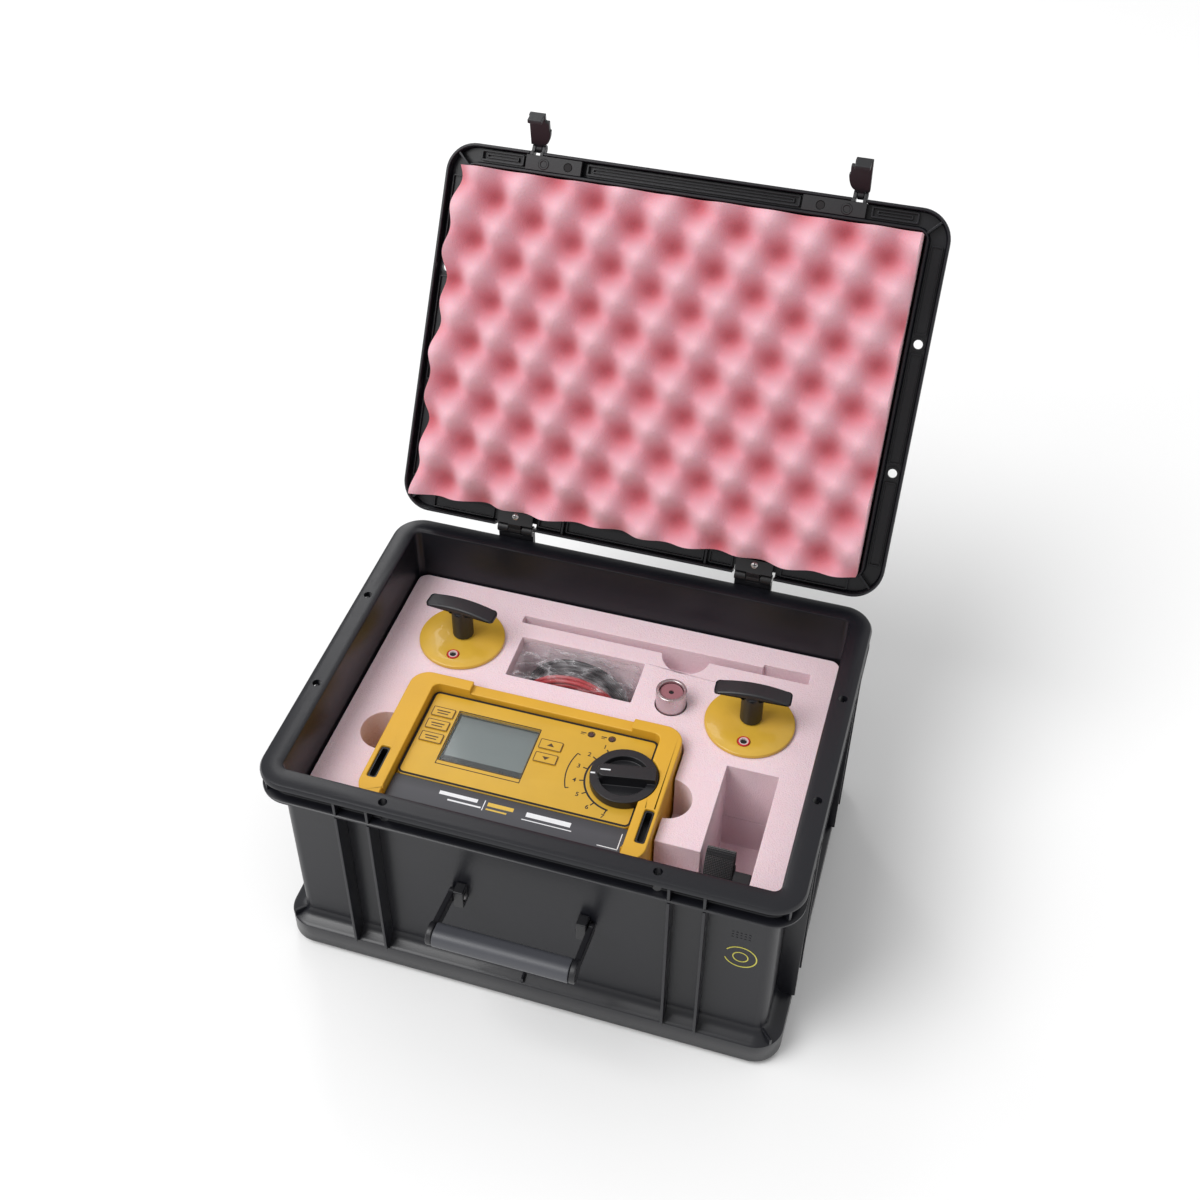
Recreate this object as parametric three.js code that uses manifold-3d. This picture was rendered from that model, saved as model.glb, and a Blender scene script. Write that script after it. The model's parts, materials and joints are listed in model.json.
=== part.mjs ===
// Insulation resistance tester kit: a hinged carrying case with cut foam, the hand-held tester,
// two weighted floor electrodes, a hand probe, a bag of test leads and a neck strap.
// Millimetres, +Z up, +X to the right, and the case's front faces -Y.
// The origin is the middle of the case's base, on the surface that it stands on.
// The lid is drawn open, leaning back on its hinges.

import * as THREE from 'three';
import { mergeVertices } from 'three/addons/utils/BufferGeometryUtils.js';
import Module from 'manifold-3d';

const wasm = await Module();
wasm.setup();

// ---------------------------------------------------------------- driving dimensions

const GAP = 0.3; // between pieces that touch
const ROUND = 16; // sides of a small round
const ARC = 3; // sides of a quarter round on the case
const FINE_ARC = 7; // and on the tester
const BIG_ROUND = 40; // sides of a large round

const CASE = { width: 400, depth: 300, top: 200, cornerR: 24, wall: 3, mouthR: 6 };
const RIM = { width: 18, height: 20, plate: 3, lip: 2.5, channel: 8, holeD: 6.7, holeInset: 9 };
const FOOT = { inset: 18, ring: 12, rib: 20 };
const PLINTH = { inset: 2.5, top: 25, skirt: 2.5, filletTop: 32.5, cornerR: 22 };
const FLOOR = { underside: 4, thick: 3 };
const FIN = { thick: 2.2, frontX: [110, 135], sideY: [70, 95] };
const RIM_HOLES_FRONT_X = 100;
const RIM_HOLES_SIDE_Y = 50;

const LID = { gap: 0.5, skirt: 12, height: 22, wall: 2.5, openDeg: 122.34, domeR: 10 };
const LID_HOLES_Y = [50, -50];
const LID_RIB_X = [30, 70];
const HINGE = { x: 100, width: 30, barrelR: 4.5, pinR: 1.5, behind: 1.2, above: 8.6, middle: 11 };
const HINGE_SLOT = 1.5;

const LATCH = { pinR: 1.5, barrelR: 3.5, ahead: 2.8, above: 8, neck: 5, ears: 11, plate: 3 };
const LEVER_REST_DEG = 50;
const LEVER = { outer: 6.5, inner: 10.5, thick: 4, top: 3.4, reach: 24, hook: 7.3, hookThick: 3.5 };
const LATCHES = [
  { side: 'left', x: -127, inward: 1, from: -135, to: -89, hole: -100 },
  { side: 'right', x: 128, inward: -1, from: 86, to: 134.5, hole: 100 },
];

const HANDLE = { armX: 51, armThick: 4.5, pivotZ: 111.5, pivotOut: 5.5, length: 41, tiltDeg: 9.3 };
const GRIP = { width: 18, height: 15, coreR: 4 };
const BRACKET = { width: 7.7, height: 18, depth: 10, stubR: 3 };

const FOAM = { clear: 2, cornerR: 8, top: 154, seam: 94 };
const LID_FOAM = { clear: 2, valley: 14, peak: 42, pitch: 36, turnDeg: 20.5, steps: [26, 19] };
const FOAM_VALLEY = [3, -13.9]; // one valley's place, along and across the turned rows

const TESTER = { x: -28.6, y: -49, width: 220, depth: 130, bottom: 26, height: 139.5, cornerR: 15 };
const BUMPER = { left: 19.3, right: 16.9, back: 10, front: 8, floor: 3, backDrop: 4, skin: 4 };
const BUMPER_DIP = [-90, 41];
const LUG = { width: 7.6, length: 31, depth: 14, y: -81, leftX: -131, rightX: 75.1 };
const HOUSING = { wall: 2.5, clear: 0.6, drop: 12 };
const PANEL = { drop: 8.5, thick: 3, edge: 0.8, split: -80.5, cornerR: 6 };
const WINDOW = { x0: -92.6, x1: -26.9, y0: -59.7, y1: -10, thick: 2 };
const DISPLAY_TALL = 5;
const KEY_ROWS = [
  { names: ['key_mode', 'key_range', 'key_store'], x: -104.6, y: [-15.3, -28.4, -41.6] },
  { names: ['key_up', 'key_down'], x: -14.6, y: [-22.6, -35.9] },
];
const KEY = { width: 17.9, depth: 9.4, proud: 0.9, clear: 0.4, flange: 1.2, plunger: 3 };
const KNOB = { x: 48, y: -40, r: 25.7, clear: 0.7, drop: 0.8, scoopR: 18.6, scoopDepth: 5 };
const KNOB_BAR = { width: 12, rise: 5, from: -20, to: 24, turnDeg: 10 };
const SHAFT_R = 3;
const LEDS = { x: [11.7, 28.1], y: -2.6, r: 2, foot: 4 };
const BOARD = { below: 11, thick: 1.6, inset: 4 };
const BATTERY = { x: -60, y: -50, width: 92, depth: 62, height: 30 };
const SWITCH = { size: 26, height: 10 };
const SOCKET_BLOCK = { width: 60, depth: 14, height: 18, holeR: 2.4, holeX: [-19, 0, 19] };

const ELECTRODES = [
  { side: 'left', x: -119.5, y: 67.4, turnDeg: -5 },
  { side: 'right', x: 124.3, y: 45.9, turnDeg: 3 },
];
const CAP_BEVEL = 1.2;
const ELECTRODE = { weightR: 31.75, weightH: 80, padH: 3, capR: 35, capH: 3.2, clear: 0.75 };
const JACK = { ahead: 21.5, r: 5, holeR: 2, depth: 8, proud: 0.8 };
const T_HANDLE = { stemR: 8.6, top: 191, length: 59, width: 14.5, height: 10, endR: 4, crown: 4, behind: 3 };
const PROBE = { x: 61, y: 48.5, r: 12, wall: 2.6, length: 90, top: 170, dish: 2.5, holeR: 2 };

const BAG = { x0: -71.5, x1: 29, y0: 42.2, y1: 82.6, bottom: 59, top: 158, film: 0.8 };
const COIL = { innerR: 31, outerR: 46.5, thick: 9, lift: 1 };
const LEADS = [
  { colour: 'black', y: 71 },
  { colour: 'red', y: 53 },
];
const PLUG = { r: 4.5, length: 42, drops: [-15, -5] };
const STRAP = { x0: 120.5, x1: 142, y0: -110, y1: -66, bottom: 61, top: 153.5, folds: 4 };
const BUCKLE = { x0: 143, x1: 156, y0: -112, y1: -84, bottom: 112, top: 144, bar: 4 };

const POCKET = { clear: 1.5, notchR: 18.7, notchDepth: 40, notchY: -42.5 };
const GROOVE = { x0: -79, x1: 122, x2: 159.5, y0: 100, y1: 108, y2: 111, depth: 20 };
const THUMB = { x: 60, y: 102, r: 19.5, depth: 26 };
const STRAP_POCKET = { x0: 117.4, x1: 157, y0: -116, y1: 0.7, floor: 60.7 };
const STRAP_WAY = { y1: -83, depth: 30 };

// ---------------------------------------------------------------- derived places

const halfW = CASE.width / 2;
const halfD = CASE.depth / 2;
const mouthW = CASE.width - 2 * RIM.width;
const mouthD = CASE.depth - 2 * RIM.width + 2;
const wallX = mouthW / 2 + CASE.wall;
const wallY = mouthD / 2 + CASE.wall;
const floorTop = FLOOR.underside + FLOOR.thick + 1;
const rimBottom = CASE.top - RIM.height;
const hingeY = halfD + HINGE.behind;
const hingeZ = CASE.top + HINGE.above;
const lidZ = CASE.top + LID.gap;
const latchY = -(halfD + LATCH.ahead);
const latchZ = lidZ + LATCH.above;
const testerTop = TESTER.bottom + TESTER.height;
const panelTop = testerTop - PANEL.drop;
const housingTop = testerTop - HOUSING.drop;
const knobTop = testerTop - KNOB.drop;
const boardTop = panelTop - BOARD.below;
const testerX0 = TESTER.x - TESTER.width / 2;
const testerX1 = TESTER.x + TESTER.width / 2;
const testerY0 = TESTER.y - TESTER.depth / 2;
const testerY1 = TESTER.y + TESTER.depth / 2;
const wellX0 = testerX0 + BUMPER.left;
const wellX1 = testerX1 - BUMPER.right;
const wellY0 = testerY0 + BUMPER.front;
const wellY1 = testerY1 - BUMPER.back;
const capBottom = FOAM.top + GAP;
const capTop = capBottom + ELECTRODE.capH;
const weightTop = capBottom - GAP;
const padBottom = weightTop - ELECTRODE.weightH - GAP - ELECTRODE.padH;

// ---------------------------------------------------------------- solids

function toSolid(geometry) {
  const bare = geometry.index ? geometry.toNonIndexed() : geometry.clone();
  bare.deleteAttribute('normal');
  bare.deleteAttribute('uv');
  const merged = mergeVertices(bare, 1e-5);
  return new wasm.Manifold(new wasm.Mesh({
    numProp: 3,
    vertProperties: new Float32Array(merged.attributes.position.array),
    triVerts: new Uint32Array(merged.index.array),
  }));
}

function toGeometry(solid) {
  const mesh = solid.getMesh();
  const geometry = new THREE.BufferGeometry();
  geometry.setAttribute('position', new THREE.BufferAttribute(mesh.vertProperties, 3));
  geometry.setIndex(new THREE.BufferAttribute(mesh.triVerts, 1));
  return geometry;
}

const join = (...solids) => solids.flat().reduce((a, b) => a.add(b));
const cut = (solid, ...tools) => tools.flat().reduce((a, b) => a.subtract(b), solid);

function box(x0, x1, y0, y1, z0, z1) {
  const geometry = new THREE.BoxGeometry(x1 - x0, y1 - y0, z1 - z0);
  geometry.translate((x0 + x1) / 2, (y0 + y1) / 2, (z0 + z1) / 2);
  return toSolid(geometry);
}

// A cylinder from a to b along an axis, centred at (u, v) on the other two axes in X, Y, Z order.
function rod(axis, r, a, b, u, v, sides = ROUND) {
  const geometry = new THREE.CylinderGeometry(r, r, b - a, sides);
  if (axis === 'x') geometry.rotateZ(-Math.PI / 2);
  if (axis === 'z') geometry.rotateX(Math.PI / 2);
  const middle = (a + b) / 2;
  if (axis === 'x') geometry.translate(middle, u, v);
  if (axis === 'y') geometry.translate(u, middle, v);
  if (axis === 'z') geometry.translate(u, v, middle);
  return toSolid(geometry);
}

function roundedRect(x0, x1, y0, y1, r) {
  const shape = new THREE.Shape();
  shape.moveTo(x0 + r, y0);
  shape.lineTo(x1 - r, y0);
  shape.absarc(x1 - r, y0 + r, r, -Math.PI / 2, 0);
  shape.lineTo(x1, y1 - r);
  shape.absarc(x1 - r, y1 - r, r, 0, Math.PI / 2);
  shape.lineTo(x0 + r, y1);
  shape.absarc(x0 + r, y1 - r, r, Math.PI / 2, Math.PI);
  shape.lineTo(x0, y0 + r);
  shape.absarc(x0 + r, y0 + r, r, Math.PI, 1.5 * Math.PI);
  return shape;
}

function prism(shape, z0, z1, curveSegments = ARC) {
  const settings = { depth: z1 - z0, bevelEnabled: false, curveSegments };
  const geometry = new THREE.ExtrudeGeometry(shape, settings);
  geometry.translate(0, 0, z0);
  return toSolid(geometry);
}

const roundedBox = (x0, x1, y0, y1, r, z0, z1, arcSides) => (
  prism(roundedRect(x0, x1, y0, y1, r), z0, z1, arcSides));
const centredBox = (w, d, r, z0, z1) => roundedBox(-w / 2, w / 2, -d / 2, d / 2, r, z0, z1);

// A profile of [y, z] points, drawn from x0 to x1.
function sideProfile(points, x0, x1) {
  const shape = new THREE.Shape(points.map(([y, z]) => new THREE.Vector2(y, z)));
  const geometry = new THREE.ExtrudeGeometry(shape, { depth: x1 - x0, bevelEnabled: false });
  geometry.rotateX(Math.PI / 2);
  geometry.rotateZ(Math.PI / 2);
  geometry.translate(x0, 0, 0);
  return toSolid(geometry);
}

function lathe(points, sides) {
  const profile = points.map(([r, z]) => new THREE.Vector2(r, z));
  const geometry = new THREE.LatheGeometry(profile, sides);
  geometry.rotateX(Math.PI / 2);
  return toSolid(geometry);
}

// ---------------------------------------------------------------- materials

const finish = (color, roughness, metalness = 0) => (
  new THREE.MeshStandardMaterial({ color, roughness, metalness }));
const casePlastic = finish(0x1c1d20, 0.42);
const handlePlastic = finish(0x17181a, 0.55);
const padFoam = finish(0xefdde4, 0.95);
const eggFoam = finish(0xea9fb2, 0.95);
const steel = finish(0xb9bbbe, 0.28, 1);
const yellowShell = finish(0xe0b43c, 0.5);
const yellowPanel = finish(0xe5b832, 0.42);
const greyLabel = finish(0x4b4e53, 0.45);
const glass = finish(0x94a3a2, 0.08);
const darkPlastic = finish(0x242529, 0.45);
const whitePlastic = finish(0xd8d8d4, 0.5);
const boardGreen = finish(0x1f5a36, 0.5);
const batteryGrey = finish(0x3a3c40, 0.5);
const ledRed = finish(0x6a2630, 0.3);
const capYellow = finish(0xdcb43e, 0.45);
const padRubber = finish(0x1a1a1a, 0.85);
const jackRed = finish(0xc93434, 0.4);
const film = finish(0xd5d3d6, 0.2);
const leadBlack = finish(0x141416, 0.45);
const leadRed = finish(0xb8202a, 0.45);
const webbing = finish(0x1b1c1f, 0.85);

// ---------------------------------------------------------------- the scene graph

const kit = new THREE.Group();

function place(parent, name, solid, material) {
  const mesh = new THREE.Mesh(toGeometry(solid), material);
  mesh.name = name;
  parent.add(mesh);
  return mesh;
}

// Closed-lid coordinates are turned about the hinge axis to the open rest position.
const lid = new THREE.Group();
lid.position.set(0, hingeY, hingeZ);
lid.rotation.x = -THREE.MathUtils.degToRad(LID.openDeg);
kit.add(lid);
const onLid = (solid) => solid.translate([0, -hingeY, -hingeZ]);

// ---------------------------------------------------------------- case

function rimRing(z0, z1, outerInset, innerX, innerY, innerR) {
  const outerR = CASE.cornerR - outerInset;
  const outer = centredBox(CASE.width - 2 * outerInset, CASE.depth - 2 * outerInset, outerR, z0, z1);
  return cut(outer, centredBox(2 * innerX, 2 * innerY, innerR, z0 - 1, z1 + 1));
}

function caseFins() {
  const fins = [];
  const half = FIN.thick / 2;
  const bottom = PLINTH.top - 1;
  for (const side of [-1, 1]) {
    for (const x of FIN.frontX) {
      const [y0, y1] = [side * (wallY - 0.5), side * halfD].sort((a, b) => a - b);
      for (const at of [-x, x]) fins.push(box(at - half, at + half, y0, y1, bottom, CASE.top - 1));
    }
    for (const y of FIN.sideY) {
      const [x0, x1] = [side * (wallX - 0.5), side * halfW].sort((a, b) => a - b);
      for (const at of [-y, y]) fins.push(box(x0, x1, at - half, at + half, bottom, CASE.top - 1));
    }
  }
  return fins;
}

function cornerGussets() {
  const gussets = [];
  const arm = RIM.channel * 2.2;
  const [x, y] = [halfW - CASE.cornerR * 0.42, halfD - CASE.cornerR * 0.42];
  for (const [sx, sy] of [[1, 1], [1, -1], [-1, 1], [-1, -1]]) {
    for (const [z0, z1] of [[PLINTH.top - 1, PLINTH.filletTop], [rimBottom + 1, CASE.top - 1]]) {
      const bar = box(-arm / 2, arm / 2, -FIN.thick / 2, FIN.thick / 2, z0, z1);
      gussets.push(bar.rotate([0, 0, sx * sy * 45]).translate([sx * (x - 3), sy * (y - 3), 0]));
    }
  }
  return gussets;
}

function rimHoles() {
  const holes = [];
  const r = RIM.holeD / 2;
  const y = halfD - RIM.holeInset;
  const x = halfW - RIM.holeInset;
  for (const side of [-1, 1]) {
    holes.push(rod('z', r, rimBottom - 1, CASE.top + 1, side * RIM_HOLES_FRONT_X, -y));
    holes.push(rod('z', r, rimBottom - 1, CASE.top + 1, -x, side * RIM_HOLES_SIDE_Y));
    holes.push(rod('z', r, rimBottom - 1, CASE.top + 1, x, side * RIM_HOLES_SIDE_Y));
  }
  return holes;
}

function plinth() {
  const outerW = CASE.width - 2 * PLINTH.inset;
  const outerD = CASE.depth - 2 * PLINTH.inset;
  const band = centredBox(outerW, outerD, PLINTH.cornerR, FLOOR.underside, PLINTH.top);
  const slope = centredBox(2 * wallX + 8, 2 * wallY + 8, CASE.mouthR + 4, PLINTH.top - 1, PLINTH.top + 3);
  const under = PLINTH.top - PLINTH.skirt;
  const skirtIn = centredBox(
    outerW - 2 * PLINTH.skirt, outerD - 2 * PLINTH.skirt, PLINTH.cornerR - PLINTH.skirt,
    FLOOR.underside - 1, under);
  const core = centredBox(2 * wallX, 2 * wallY, CASE.mouthR, FLOOR.underside - 2, under + 1);
  return join(cut(band, cut(skirtIn, core)), slope);
}

function foot() {
  const w = CASE.width - 2 * PLINTH.inset - 2 * FOOT.inset;
  const d = CASE.depth - 2 * PLINTH.inset - 2 * FOOT.inset;
  const top = FLOOR.underside + 0.5;
  const ring = cut(centredBox(w, d, CASE.mouthR * 2, 0, top),
    centredBox(w - 2 * FOOT.ring, d - 2 * FOOT.ring, CASE.mouthR, -1, top + 1));
  return join(ring, box(-w / 2 + 1, w / 2 - 1, -FOOT.rib / 2, FOOT.rib / 2, 0, top),
    box(-FOOT.rib / 2, FOOT.rib / 2, -d / 2 + 1, d / 2 - 1, 0, top));
}

function caseTub() {
  const mouth = centredBox(mouthW, mouthD, CASE.mouthR, floorTop, CASE.top + 1);
  const wallBox = centredBox(
    2 * wallX, 2 * wallY, CASE.mouthR + CASE.wall, FLOOR.underside, CASE.top - 0.5);
  const plate = centredBox(
    CASE.width, CASE.depth, CASE.cornerR, CASE.top - RIM.plate, CASE.top);
  const webX = halfW - RIM.channel;
  const webY = halfD - RIM.channel;
  const web = centredBox(
    2 * webX, 2 * webY, CASE.cornerR - RIM.channel, rimBottom, CASE.top - 0.5);
  const lip = rimRing(rimBottom, rimBottom + RIM.lip, 0, wallX - 1, wallY - 1, CASE.mouthR);
  const body = join(wallBox, plate, web, lip, plinth(), foot(), caseFins(), cornerGussets());
  return cut(body, mouth, rimHoles());
}

place(kit, 'case_tub', caseTub(), casePlastic);

// ---------------------------------------------------------------- foam in the case

function pocketTools() {
  const top = FOAM.top + 1;
  const c = POCKET.clear;
  const tester = (z0) => roundedBox(
    testerX0 - c, testerX1 + c, testerY0 - c, testerY1 + c, TESTER.cornerR, z0, top);
  const wells = (z0) => ELECTRODES.map((e) => (
    rod('z', ELECTRODE.weightR + ELECTRODE.clear, z0, top, e.x, e.y, BIG_ROUND)));
  const probe = (z0) => rod('z', PROBE.r + 0.7, z0, top, PROBE.x, PROBE.y, 32);
  const bag = (z0) => box(BAG.x0 - c, BAG.x1 + c, BAG.y0 - c, BAG.y1 + c, z0, top);
  const strap = (z0) => box(
    STRAP_POCKET.x0, STRAP_POCKET.x1, STRAP_POCKET.y0, STRAP_POCKET.y1, z0, top);
  return { tester, wells, probe, bag, strap };
}

function foamLayer(z0, z1) {
  const w = mouthW - 2 * FOAM.clear;
  const d = mouthD - 2 * FOAM.clear;
  return centredBox(w, d, FOAM.cornerR, z0, z1);
}

function foamTop() {
  const { tester, wells, probe, bag, strap } = pocketTools();
  const through = FOAM.seam - 2;
  const top = FOAM.top + 1;
  const notchFloor = FOAM.top - POCKET.notchDepth;
  const notches = [testerX0 - 4.4, testerX1 + 0.6].map((x) => (
    rod('z', POCKET.notchR, notchFloor, top, x, POCKET.notchY, 36)));
  const grooveFloor = FOAM.top - GROOVE.depth;
  const groove = [
    box(GROOVE.x0, GROOVE.x1 + 1, GROOVE.y0, GROOVE.y1, grooveFloor, top),
    box(GROOVE.x1, GROOVE.x2, GROOVE.y0, GROOVE.y2, grooveFloor, top)];
  const thumb = cut(rod('z', THUMB.r, FOAM.top - THUMB.depth, top, THUMB.x, THUMB.y, 36),
    box(THUMB.x - 30, THUMB.x + 30, GROOVE.y1, GROOVE.y1 + 30, 0, top + 1));
  const way = box(testerX1, STRAP_POCKET.x0 + 1, STRAP_POCKET.y0, STRAP_WAY.y1,
    FOAM.top - STRAP_WAY.depth, top);
  const layer = foamLayer(FOAM.seam + GAP / 2, FOAM.top);
  return cut(layer, tester(through), wells(through), probe(through), bag(through), strap(through),
    notches, groove, thumb, way);
}

function foamBottom() {
  const { tester, wells, probe, bag, strap } = pocketTools();
  const layer = foamLayer(floorTop + GAP, FOAM.seam - GAP / 2);
  return cut(layer, tester(TESTER.bottom - GAP), wells(padBottom - GAP),
    probe(PROBE.top - PROBE.length - GAP), bag(BAG.bottom - GAP), strap(STRAP_POCKET.floor));
}

place(kit, 'foam_top', foamTop(), padFoam);
place(kit, 'foam_bottom', foamBottom(), padFoam);

// ---------------------------------------------------------------- hinges

function hingeBase(x) {
  const half = HINGE.width / 2;
  const inChannel = halfD - RIM.channel + GAP;
  const legIn = halfD + GAP;
  const legOut = hingeY + HINGE.barrelR;
  const z0 = rimBottom + RIM.lip + GAP;
  const z1 = CASE.top - RIM.plate - GAP;
  const block = box(x - half, x + half, inChannel, legIn + 1, z0, z1);
  const leg = box(x - half, x + half, legIn, legOut, z0, CASE.top + 3);
  const barrels = [-1, 1].flatMap((side) => {
    const [a, b] = [side * (HINGE.middle / 2 + GAP), side * half].sort((p, q) => p - q);
    return [rod('x', HINGE.barrelR, x + a, x + b, hingeY, hingeZ, 24),
      box(x + a, x + b, legIn, legOut, CASE.top + 2, hingeZ)];
  });
  const bore = rod('x', HINGE.pinR + GAP, x - half - 1, x + half + 1, hingeY, hingeZ);
  const finHalf = FIN.thick / 2 + GAP;
  const finSlots = FIN.frontX.map((fx) => Math.sign(x) * fx).map((fx) => (
    box(fx - finHalf, fx + finHalf, inChannel - 1, legIn, z0 - 1, z1 + 1)));
  return cut(join(block, leg, barrels), bore, finSlots);
}

function hingeLeaf(x) {
  const half = HINGE.width / 2;
  const half2 = HINGE.middle / 2;
  const channelIn = wallY + LID.wall - 3 + GAP + 0.5;
  const z0 = lidZ + GAP;
  const plate = box(x - half, x + half, channelIn, halfD - LID.wall - GAP, z0, z0 + 2.7);
  const arm = sideProfile([
    [halfD - 8, z0], [halfD - 2.5, z0], [hingeY, hingeZ - HINGE.barrelR], [hingeY, hingeZ],
    [hingeY - HINGE.barrelR, hingeZ], [halfD - 8, z0 + 2.6]], x - half2, x + half2);
  const barrel = rod('x', HINGE.barrelR, x - half2, x + half2, hingeY, hingeZ, 24);
  const bore = rod('x', HINGE.pinR + GAP, x - half2 - 1, x + half2 + 1, hingeY, hingeZ);
  return cut(join(plate, arm, barrel), bore);
}

for (const [side, x] of [['left', -HINGE.x], ['right', HINGE.x]]) {
  const half = HINGE.width / 2;
  place(kit, `hinge_base_${side}`, hingeBase(x), darkPlastic);
  place(kit, `hinge_pin_${side}`, rod('x', HINGE.pinR, x - half, x + half, hingeY, hingeZ), steel);
  place(lid, `hinge_leaf_${side}`, onLid(hingeLeaf(x)), darkPlastic);
}

// ---------------------------------------------------------------- lid

function lidShell() {
  const z0 = lidZ;
  const ledge = z0 + LID.skirt;
  const top = z0 + LID.height;
  const w = LID.wall;
  const domeX = mouthW / 2 + w;
  const domeY = mouthD / 2 + w;
  const skirt = centredBox(CASE.width, CASE.depth, CASE.cornerR, z0, ledge);
  const dome = centredBox(2 * domeX, 2 * domeY, LID.domeR, z0, top);
  const inside = centredBox(mouthW, mouthD, CASE.mouthR, z0 - 1, top - w);
  const channel = cut(
    centredBox(CASE.width - 2 * w, CASE.depth - 2 * w, CASE.cornerR - w, z0 - 1, ledge - w),
    centredBox(2 * domeX, 2 * domeY, LID.domeR, z0 - 2, ledge));
  const ribs = LID_RIB_X.flatMap((x) => [-x, x]).flatMap((x) => [-1, 1].map((side) => {
    const [y0, y1] = [side * (domeY - 0.5), side * (halfD - w / 2)].sort((a, b) => a - b);
    return box(x - 0.9, x + 0.9, y0, y1, z0 + 3, ledge - 1);
  }));
  const corner = CASE.cornerR * 0.55;
  const gussets = [[1, 1], [1, -1], [-1, 1], [-1, -1]].map(([sx, sy]) => (
    box(-8, 8, -0.9, 0.9, z0 + 1.5, ledge - 1).rotate([0, 0, sx * sy * 45])
      .translate([sx * (halfW - corner), sy * (halfD - corner), 0])));
  const holes = [-1, 1].flatMap((side) => LID_HOLES_Y.map((y) => (
    rod('z', RIM.holeD / 2, ledge - w - 1, ledge + 1, side * (halfW - RIM.holeInset), y))));
  const slot = HINGE.width / 2 + HINGE_SLOT;
  const hingeSlots = [-HINGE.x, HINGE.x].map((x) => (
    box(x - slot, x + slot, hingeY - HINGE.barrelR - HINGE_SLOT, halfD + 1, z0 - 1, ledge + 1)));
  const latchSlots = LATCHES.map(({ x }) => (
    box(x - LATCH.ears / 2 - 0.5, x + LATCH.ears / 2 + 0.5, -halfD - 1, -halfD + w + 0.5,
      z0 - 1, ledge + 1)));
  const frame = cut(join(skirt, dome), inside, channel);
  return cut(join(frame, ribs, gussets), holes, hingeSlots, latchSlots);
}

// Egg-crate foam: a bumpy underside on a flat back, closed round its edge.
function eggFoamSolid() {
  const w = mouthW / 2 - LID_FOAM.clear;
  const d = mouthD / 2 - LID_FOAM.clear;
  const [nx, ny] = LID_FOAM.steps;
  const back = LID.height - LID.wall - GAP;
  const wave = 2 * Math.PI / LID_FOAM.pitch;
  const turn = THREE.MathUtils.degToRad(LID_FOAM.turnDeg);
  const [c, s] = [Math.cos(turn), Math.sin(turn)];
  const swing = (LID_FOAM.peak - LID_FOAM.valley) / 4;
  const middle = (LID_FOAM.peak + LID_FOAM.valley) / 2;
  const drop = (x, y) => middle
    - swing * (Math.cos(wave * (c * x + s * y - FOAM_VALLEY[0]))
      + Math.cos(wave * (c * y - s * x - FOAM_VALLEY[1])));
  const points = [];
  for (let j = 0; j <= ny; j += 1) {
    for (let i = 0; i <= nx; i += 1) {
      const [x, y] = [-w + 2 * w * i / nx, -d + 2 * d * j / ny];
      points.push(x, y, -drop(x, y));
    }
  }
  const under = points.length / 3;
  const edge = [];
  for (let i = 0; i < nx; i += 1) edge.push([i, 0]);
  for (let j = 0; j < ny; j += 1) edge.push([nx, j]);
  for (let i = nx; i > 0; i -= 1) edge.push([i, ny]);
  for (let j = ny; j > 0; j -= 1) edge.push([0, j]);
  for (const [i, j] of edge) points.push(-w + 2 * w * i / nx, -d + 2 * d * j / ny, back);
  points.push(0, 0, back);
  const hub = under + edge.length;
  const faces = [];
  const at = (i, j) => j * (nx + 1) + i;
  for (let j = 0; j < ny; j += 1) {
    for (let i = 0; i < nx; i += 1) {
      faces.push(at(i, j), at(i + 1, j + 1), at(i + 1, j), at(i, j), at(i, j + 1), at(i + 1, j + 1));
    }
  }
  edge.forEach(([i, j], n) => {
    const m = (n + 1) % edge.length;
    const low = at(i, j);
    const next = at(edge[m][0], edge[m][1]);
    faces.push(low, next, under + m, low, under + m, under + n, hub, under + n, under + m);
  });
  const geometry = new THREE.BufferGeometry();
  geometry.setAttribute('position', new THREE.Float32BufferAttribute(points, 3));
  geometry.setIndex(faces);
  return toSolid(geometry).translate([0, 0, lidZ]);
}

place(lid, 'lid_shell', onLid(lidShell()), casePlastic);
place(lid, 'lid_foam', onLid(eggFoamSolid()), eggFoam);

// ---------------------------------------------------------------- latches

function latchBase({ x, from, to, hole }) {
  const z0 = lidZ + GAP;
  const outer = -(halfD - LID.wall - GAP);
  const inner = -(mouthD / 2 + LID.wall + GAP);
  const plate = box(from, to, outer, inner, z0, z0 + LATCH.plate);
  const half = LATCH.ears / 2;
  const leverTop = lidZ + LEVER.top;
  const ear = (a, b) => join(
    rod('x', LATCH.barrelR, a, b, latchY, latchZ, 24),
    sideProfile([
      [outer + 1, z0], [-halfD - 0.2, z0 + 0.5], [-halfD - 0.2, leverTop + 0.4],
      [latchY, latchZ - LATCH.barrelR + 0.1], [latchY, latchZ + LATCH.barrelR],
      [outer + 1, latchZ]], a, b));
  const inside = LATCH.neck / 2 + GAP;
  const ears = [ear(x - half, x - inside), ear(x + inside, x + half)];
  const bridge = box(x - half, x + half, outer, outer + 3, z0 + 1, latchZ - 0.2);
  const bore = rod('x', LATCH.pinR + GAP, x - half - 1, x + half + 1, latchY, latchZ);
  const stud = rod('z', RIM.holeD / 2, z0 - 1, z0 + 1.8, hole, -(halfD - RIM.holeInset));
  return cut(join(plate, ears, bridge), bore, stud);
}

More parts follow.
